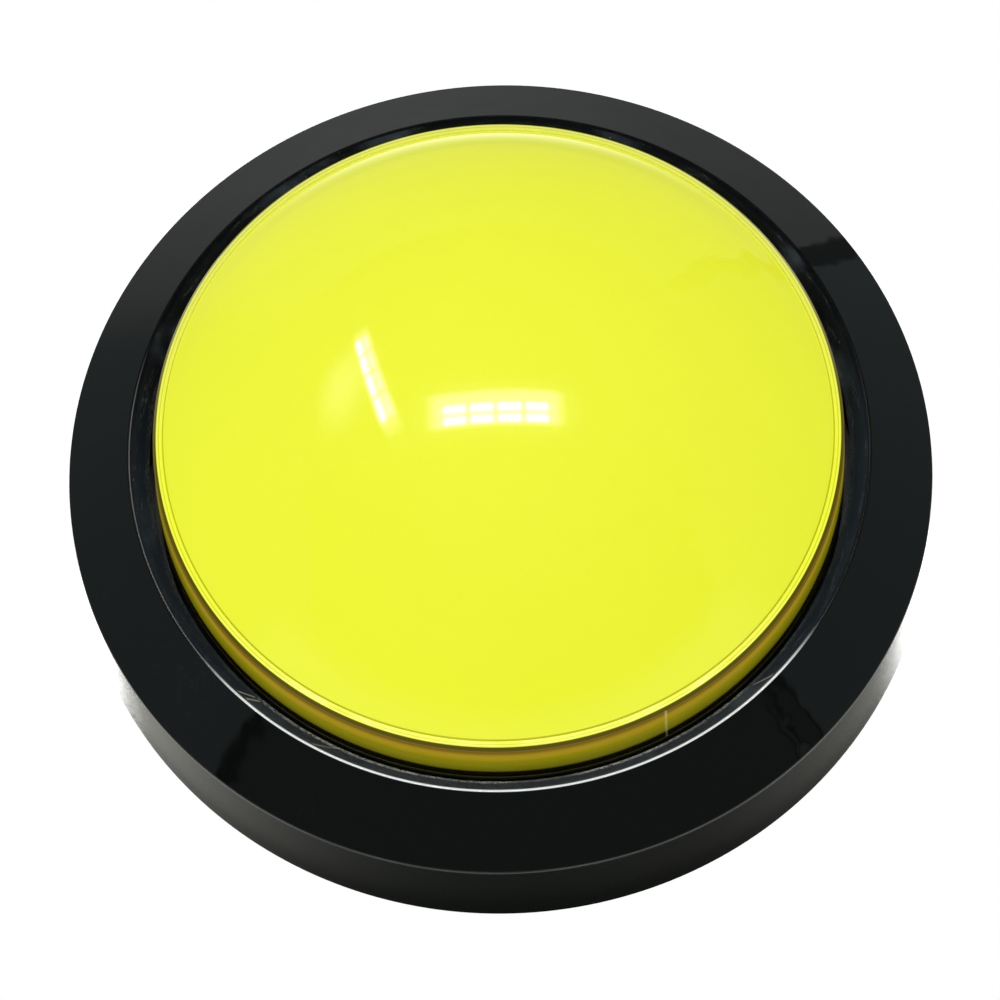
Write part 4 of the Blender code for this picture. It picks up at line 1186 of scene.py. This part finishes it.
def make_switch(case_material, cover_material):
    """Case with ears, actuator pocket and terminal slots, and its cover."""
    case = switch_box("switch_case", 0.35)
    ears = []
    for side in SIDES:
        start = SWITCH_X + side * 2.4
        near, far = sorted((start, start + side * 0.7))
        outline = [(-12.2, SWITCH_TOP - 0.6), (-9.8, SWITCH_TOP - 0.6), (-9.8, -44.2),
                   (-10.3, -43.4), (-11.7, -43.4), (-12.2, -44.2)]
        ears.append(plate("ear", outline, near, far, 0.08))
    collar = rods([BUTTON_PLACE], 2.3, SWITCH_TOP - 0.6, SWITCH_TOP + 0.45, fillet=0.15)
    combine(case, "UNION", *ears, *collar)
    cuts = [across_switch(0.7, 6.0, LEVER_AXIS.y, LEVER_AXIS.z)]
    cuts += rods([BUTTON_PLACE], 1.7, SWITCH_TOP - 5.5, SWITCH_TOP + 2.0)
    for index in (-1, 0, 1):
        middle = index * TERMINAL_SPACING
        cuts.append(box((SWITCH_X - 0.7, middle - 2.7, SWITCH_BOTTOM - 1.0),
                        (SWITCH_X + 0.7, middle + 2.7, SWITCH_BOTTOM + 5.0)))
    combine(case, "DIFFERENCE", *cuts, *switch_screw_holes())
    place(case, "holder", case_material, "switch_case")

    cover = switch_box("switch_cover", 0.3)
    face = high_of("switch_cover").x
    panel = box((face - 0.3, -7.5, SWITCH_BOTTOM + 3.5), (face + 1.0, 7.5, SWITCH_TOP - 2.5), 0.25)
    combine(cover, "DIFFERENCE", panel, *switch_screw_holes())
    place(cover, "holder", cover_material, "switch_cover")


def make_switch_screws(material):
    """Two pan-head screws through the switch into the bracket."""
    for index, (side, turn) in enumerate(((-1, 20.0), (1, -35.0)), start=1):
        name = f"switch_screw_{index}"
        seat = high_of("switch_cover").x + 0.3
        tip = low_of(name).x - seat
        corners = [(0.0, 1.6, 0.0), (2.1, 1.6, 0.4), (2.6, 1.0, 0.3), (2.6, 0.0, 0.1),
                   (1.35, 0.0, 0.0), (1.35, tip + 0.6, 0.1), (0.8, tip, 0.1), (0.0, tip, 0.0)]
        screw = lathe(name + "_fine", corners)
        combine(screw, "DIFFERENCE", *cross_recess(0.28, 1.5, 0.8, 2.0))
        moved(screw, z=turn)
        moved(screw, (seat, side * SWITCH_SCREW_Y, SWITCH_SCREW_Z), y=90.0)
        place(screw, "holder", material, name)


def make_terminals(material):
    """Three blades with tapered tips and a round hole."""
    for index, name in ((-1, "terminal_common"), (0, "terminal_open"), (1, "terminal_closed")):
        middle = index * TERMINAL_SPACING
        low, high = low_of(name), high_of(name)
        outline = blade_outline(middle, low.z, high.z, 2.4, 1.5, 1.5)
        blade = plate(name + "_fine", outline, low.x, high.x, 0.12)
        combine(blade, "DIFFERENCE", across_switch(0.9, 3.0, middle, low.z + 2.8))
        place(blade, "holder", material, name)


def make_switch_button(material):
    """The switch's own small button, in its pocket."""
    low, high = low_of("switch_button"), high_of("switch_button")
    radius = (high.x - low.x) / 2
    corners = sphere_arc(2.2, high.z - 2.2, 0.0, radius, 8)
    corners += [(radius, low.z, 0.1), (0.0, low.z, 0.0)]
    button = moved(lathe("switch_button_fine", corners), BUTTON_PLACE)
    place(button, "actuator", material, "switch_button")


def make_lever(material, pin_material):
    """Lever with a rolled eye and a rounded tip, on its pin."""
    half = 2.1
    length = LEVER_REACH / math.cos(LEVER_ANGLE)
    thick = 0.25
    outline = [(-half, 0.66), (half, 0.66), (half, length - 1.0), (half - 0.3, length - 0.3),
               (half - 1.0, length), (1.0 - half, length), (0.3 - half, length - 0.3),
               (-half, length - 1.0)]
    points = [(x, y, -thick) for x, y in outline]
    lever = extruded("lever_fine", points, (0.0, 0.0, 2 * thick), 0.06)
    moved(lever, x=math.degrees(LEVER_ANGLE))
    combine(lever, "UNION", moved(rod(1.1, -half, half, fillet=0.1), y=90.0))
    combine(lever, "DIFFERENCE", moved(rod(0.7, -5.0, 5.0), y=90.0))
    place(moved(lever, LEVER_AXIS), "lever", material, "switch_lever")
    reach = high_of("lever_pin").x - SWITCH_X
    pin = rod(0.4, -reach, reach, fillet=0.12, name="lever_pin_fine")
    place(moved(pin, LEVER_AXIS, y=90.0), "lever", pin_material, "lever_pin")


# ---- studio ----

CAMERA_DISTANCE = 0.500
CAMERA_ELEVATION = 66.25
CAMERA_ROLL = -3.2
TARGET = Vector((0.0, 0.0, PANEL))


def aimed(name, data, spot, direction, roll=0.0):
    """Add a camera or lamp at a spot, looking in a direction."""
    item = bpy.data.objects.new(name, data)
    aim = direction.to_track_quat("-Z", "Y").to_matrix().to_4x4()
    item.matrix_world = Matrix.Translation(spot) @ aim @ Matrix.Rotation(roll, 4, "Z")
    bpy.context.scene.collection.objects.link(item)
    return item


def make_camera():
    """Long lens that looks down on the dome from the front."""
    lens = bpy.data.cameras.new("camera")
    lens.lens = 151.75
    lens.sensor_width = 36.0
    lens.shift_x = -0.0025
    lens.shift_y = 0.0087
    lens.clip_start = 0.01
    lens.clip_end = 20.0
    elevation = math.radians(CAMERA_ELEVATION)
    back = Vector((0.0, -math.cos(elevation), math.sin(elevation)))
    spot = TARGET + back * CAMERA_DISTANCE
    bpy.context.scene.camera = aimed("camera", lens, spot, -back, math.radians(CAMERA_ROLL))


def make_floor():
    """Pale floor. Seen steeply it is plain white; seen flatly it takes a faint shadow."""
    size = 4.0
    gap = 0.0004
    z = CAD_BOX[0][2] - gap
    corners = [(-size, -size, z), (size, -size, z), (size, size, z), (-size, size, z)]
    floor = mesh_object("floor", corners, [(0, 1, 2, 3)])
    s = Surface("floor_pale")
    grain = s.noise(s.at, 400.0, detail=4.0)
    paper = s.get("BsdfDiffuse", {"Color": s.mix(grain, (0.93, 0.93, 0.93), (0.95, 0.95, 0.95))})
    white = s.get("Emission", {"Color": WHITE, "Strength": 1.0})
    seen = s.add("NewGeometry")
    steep = s.add("VectorMath", {0: seen.outputs["Incoming"], 1: (0.0, 0.0, 1.0)},
                  operation="DOT_PRODUCT").outputs["Value"]
    shown = s.between(steep, 0.45, 0.75, 0.35, 0.0)
    clear = s.get("BsdfTransparent")
    shader = s.blend(seen.outputs["Backfacing"], s.blend(shown, white, paper), clear)
    floor.data.materials.append(s.finish(shader))
    floor.visible_glossy = False
    floor.visible_diffuse = False
    floor.visible_transmission = False


def louvre_lamp(g, u, v, center, length, width, tilt, tubes, glow, gap):
    """A ceiling lamp: bright tubes in cells over a dimmer soft surround. Gap: light between cells."""
    c, s = math.cos(math.radians(tilt)), math.sin(math.radians(tilt))
    u = g.minus(u, center[0])
    v = g.minus(v, center[1])
    along = g.math("ADD", g.product(u, c), g.product(v, s))
    aside = g.minus(g.product(v, c), g.product(u, s))
    inner = length * 0.84
    cell = g.math("FRACT", g.math("DIVIDE", along, inner / 4))
    cells = g.between(g.gap(cell, 0.5), 0.33, 0.49, 1.0, gap)
    ends = g.band(along, 0.0, inner / 2 - 0.03, 0.06)
    light = 0.0
    for offset, half, power in tubes:
        light = g.math("ADD", light, g.product(g.band(aside, offset, 0.0, half * 1.6), ends, cells, power))
    surround = g.product(g.band(aside, 0.0, width / 2 - 0.02, 0.04),
                         g.band(along, 0.0, length / 2 - 0.04, 0.08), glow)
    halo = g.product(g.band(aside, 0.0, 0.0, width * 1.2),
                     g.band(along, 0.0, length * 0.3, length * 0.5), glow * 0.25)
    return g.math("ADD", g.math("ADD", light, surround), halo)


def make_world():
    """White surround for the eye, an even soft sky for diffuse light, a room for reflections."""
    world = bpy.data.worlds.new("studio")
    bpy.context.scene.world = world
    world.use_nodes = True
    g = Graph(world.node_tree)
    direction = g.add("TexCoord").outputs["Generated"]
    x, y, z = g.add("SeparateXYZ", {0: direction}).outputs
    azimuth = g.math("DEGREES", g.math("ARCTAN2", y, x))
    elevation = g.math("DEGREES", g.math("ARCSINE", z))
    ripple = g.noise(g.stretch(direction, (3.0, 3.0, 9.0)), 1.0, detail=2.0)
    wander = g.linear(ripple, 9.0, -4.5)

    # the room: dark in front, a little lighter at the sides, pale ceiling
    fray = g.noise(g.stretch(direction, (6.0, 6.0, 14.0)), 1.0, detail=3.0, rough=0.6)
    sideways = g.linear(fray, 0.24, g.minus(g.math("ABSOLUTE", x), 0.12))
    front = g.between(y, 0.10, -0.05)
    side = g.math("MAXIMUM", g.between(sideways, 0.776, 0.783), g.minus(1.0, front))
    outline = g.product(g.band(sideways, 0.768, 0.003, 0.004), front)
    room = g.mix(side, (0.092, 0.112, 0.106), (0.186, 0.226, 0.222))
    room = g.mix(outline, room, (0.010, 0.010, 0.010))
    room = g.mix(g.between(elevation, 45.0, 75.0), room, (0.26, 0.27, 0.26))
    ground = g.product(g.band(elevation, -8.0, 20.0, 12.0), g.between(y, -0.25, -0.55), 0.75)
    room = g.mix(ground, room, (0.80, 0.80, 0.78))

    # white sheet behind the object, with uneven edges
    course = g.math("ADD", azimuth, wander)
    across = g.product(g.between(course, 52.9, 53.3), g.between(course, 140.0, 127.0))
    lift = g.linear(wander, 0.3, 19.5)
    below = g.between(g.minus(elevation, lift), 0.7, -0.7)
    fall = g.product(g.between(azimuth, 70.0, 106.0, 0.31, 0.395),
                     g.between(azimuth, 112.0, 135.0, 1.0, 0.85))
    seam = g.product(g.band(course, 51.0, 1.6, 0.6), below)
    room = g.mix(seam, room, (0.07, 0.08, 0.08))
    color = g.mix(g.product(across, below), room, g.combined(g.product(fall, 0.97), fall, fall))

    # table under the object: dark in front, white behind, darker on the right
    forward = g.math("DIVIDE", g.math("ADD", y, 0.40), 0.65, clamp=True)
    bright = g.linear(g.math("POWER", forward, 1.5), 0.61, 0.004)
    limit = g.between(x, -0.1, 0.1, 0.275, 0.268)
    glare = g.between(g.minus(y, limit), -0.003, 0.003, 0.0, 2.2)
    right = g.product(g.between(x, 0.10, 0.30), g.between(y, 0.30, 0.10), 0.45)
    bright = g.product(bright, g.minus(1.0, right))
    pale = g.combined(g.math("ADD", bright, glare), g.linear(bright, 1.01, glare),
                      g.linear(bright, 0.91, glare))
    color = g.mix(g.between(elevation, -25.0, -42.0), color, pale)

    # two ceiling lamps with louvres, and the soft light of a window
    up = g.math("MAXIMUM", z, 0.05)
    u = g.math("DIVIDE", x, up)
    v = g.math("DIVIDE", y, up)
    near = louvre_lamp(g, u, v, (-0.005, 0.215), 0.60, 0.17, -1.5,
                       ((-0.055, 0.022, 26.0), (0.002, 0.022, 26.0)), 5.0, 0.10)
    far = louvre_lamp(g, u, v, (-0.655, 0.585), 0.88, 0.10, -70.0,
                      ((-0.030, 0.024, 24.0), (0.022, 0.024, 9.0)), 2.0, 0.35)
    haze_u = g.product(g.minus(u, -0.88), 3.2)
    haze_v = g.product(g.minus(v, 0.58), 2.4)
    haze = g.between(g.length(haze_v, haze_u), 1.0, 0.0, 0.0, 2.0)
    light = g.math("ADD", g.math("ADD", near, far), haze)
    light = g.product(light, g.between(z, 0.3, 0.4))
    reflected = g.mix(1.0, color, g.combined(light, light, light), blend="ADD")

    # even sky for diffuse light
    sky = g.mix(g.between(z, -0.9, 0.25), (0.55, 0.55, 0.56), (1.045, 1.04, 1.03))
    path = g.add("LightPath").outputs
    direct = g.minus(1.0, path["Is Transmission Ray"])
    seen = g.mix(g.product(path["Is Glossy Ray"], direct), sky, reflected)
    seen = g.mix(path["Is Camera Ray"], seen, WHITE)
    g.add("OutputWorld", {"Surface": g.get("Background", {"Color": seen, "Strength": 1.0})})


def make_key_light():
    """One broad soft light from the upper left, for form and shadow."""
    lamp = bpy.data.lights.new("key", "AREA")
    lamp.shape = "RECTANGLE"
    lamp.size = 0.7
    lamp.size_y = 0.5
    lamp.energy = 1.0
    spot = Vector((-0.55, -0.25, PANEL + 0.95))
    aimed("key", lamp, spot, TARGET - spot).visible_glossy = False


def main():
    """Build every piece and the studio round them."""
    black = moulded("base_satin_black", (0.011, 0.011, 0.012), 0.40)
    carrier = moulded("plunger_satin_black", (0.013, 0.013, 0.014), 0.42, wear=0.3)
    nylon = moulded("nut_nylon_black", (0.016, 0.016, 0.017), 0.48, grain=0.00002)
    ivory = moulded("holder_ivory", (0.62, 0.60, 0.54), 0.42, dusty=0.4)
    white = moulded("lamp_base_white", (0.76, 0.76, 0.73), 0.45, dusty=0.3)
    case = moulded("switch_case_black", (0.022, 0.022, 0.023), 0.50, grain=0.00002)
    cover = moulded("switch_cover_grey", (0.060, 0.060, 0.062), 0.48, grain=0.00002)
    red = moulded("switch_button_red", (0.45, 0.020, 0.012), 0.35)
    zinc = metal("zinc_plated", (0.68, 0.69, 0.70), 0.30, (900.0, 900.0, 900.0))
    bright = metal("screw_zinc", (0.66, 0.65, 0.60), 0.26, (1500.0, 1500.0, 60.0))
    wire = metal("spring_wire", (0.56, 0.56, 0.57), 0.26, (200.0, 200.0, 3000.0))
    brass = metal("tinned_brass", (0.78, 0.72, 0.56), 0.28, (2600.0, 2600.0, 90.0),
                  tarnish=(0.46, 0.34, 0.16))
    sheet = metal("lever_stainless", (0.62, 0.62, 0.61), 0.24, (2600.0, 90.0, 90.0), stain=0.2)

    make_bezel(bezel_material())
    make_base(black)
    make_base_screws(bright)
    make_spring(wire)
    make_cap(cap_material())
    make_diffuser(diffuser_material())
    make_plunger(carrier)
    make_washer(zinc)
    make_nut(nylon)
    make_holder(ivory)
    make_lamp(white, lens_material())
    make_contacts(brass)
    make_switch(case, cover)
    make_switch_screws(bright)
    make_terminals(brass)
    make_switch_button(red)
    make_lever(sheet, bright)

    make_world()
    make_key_light()
    make_floor()
    make_camera()
    bpy.context.scene.view_settings.view_transform = "Standard"


main()
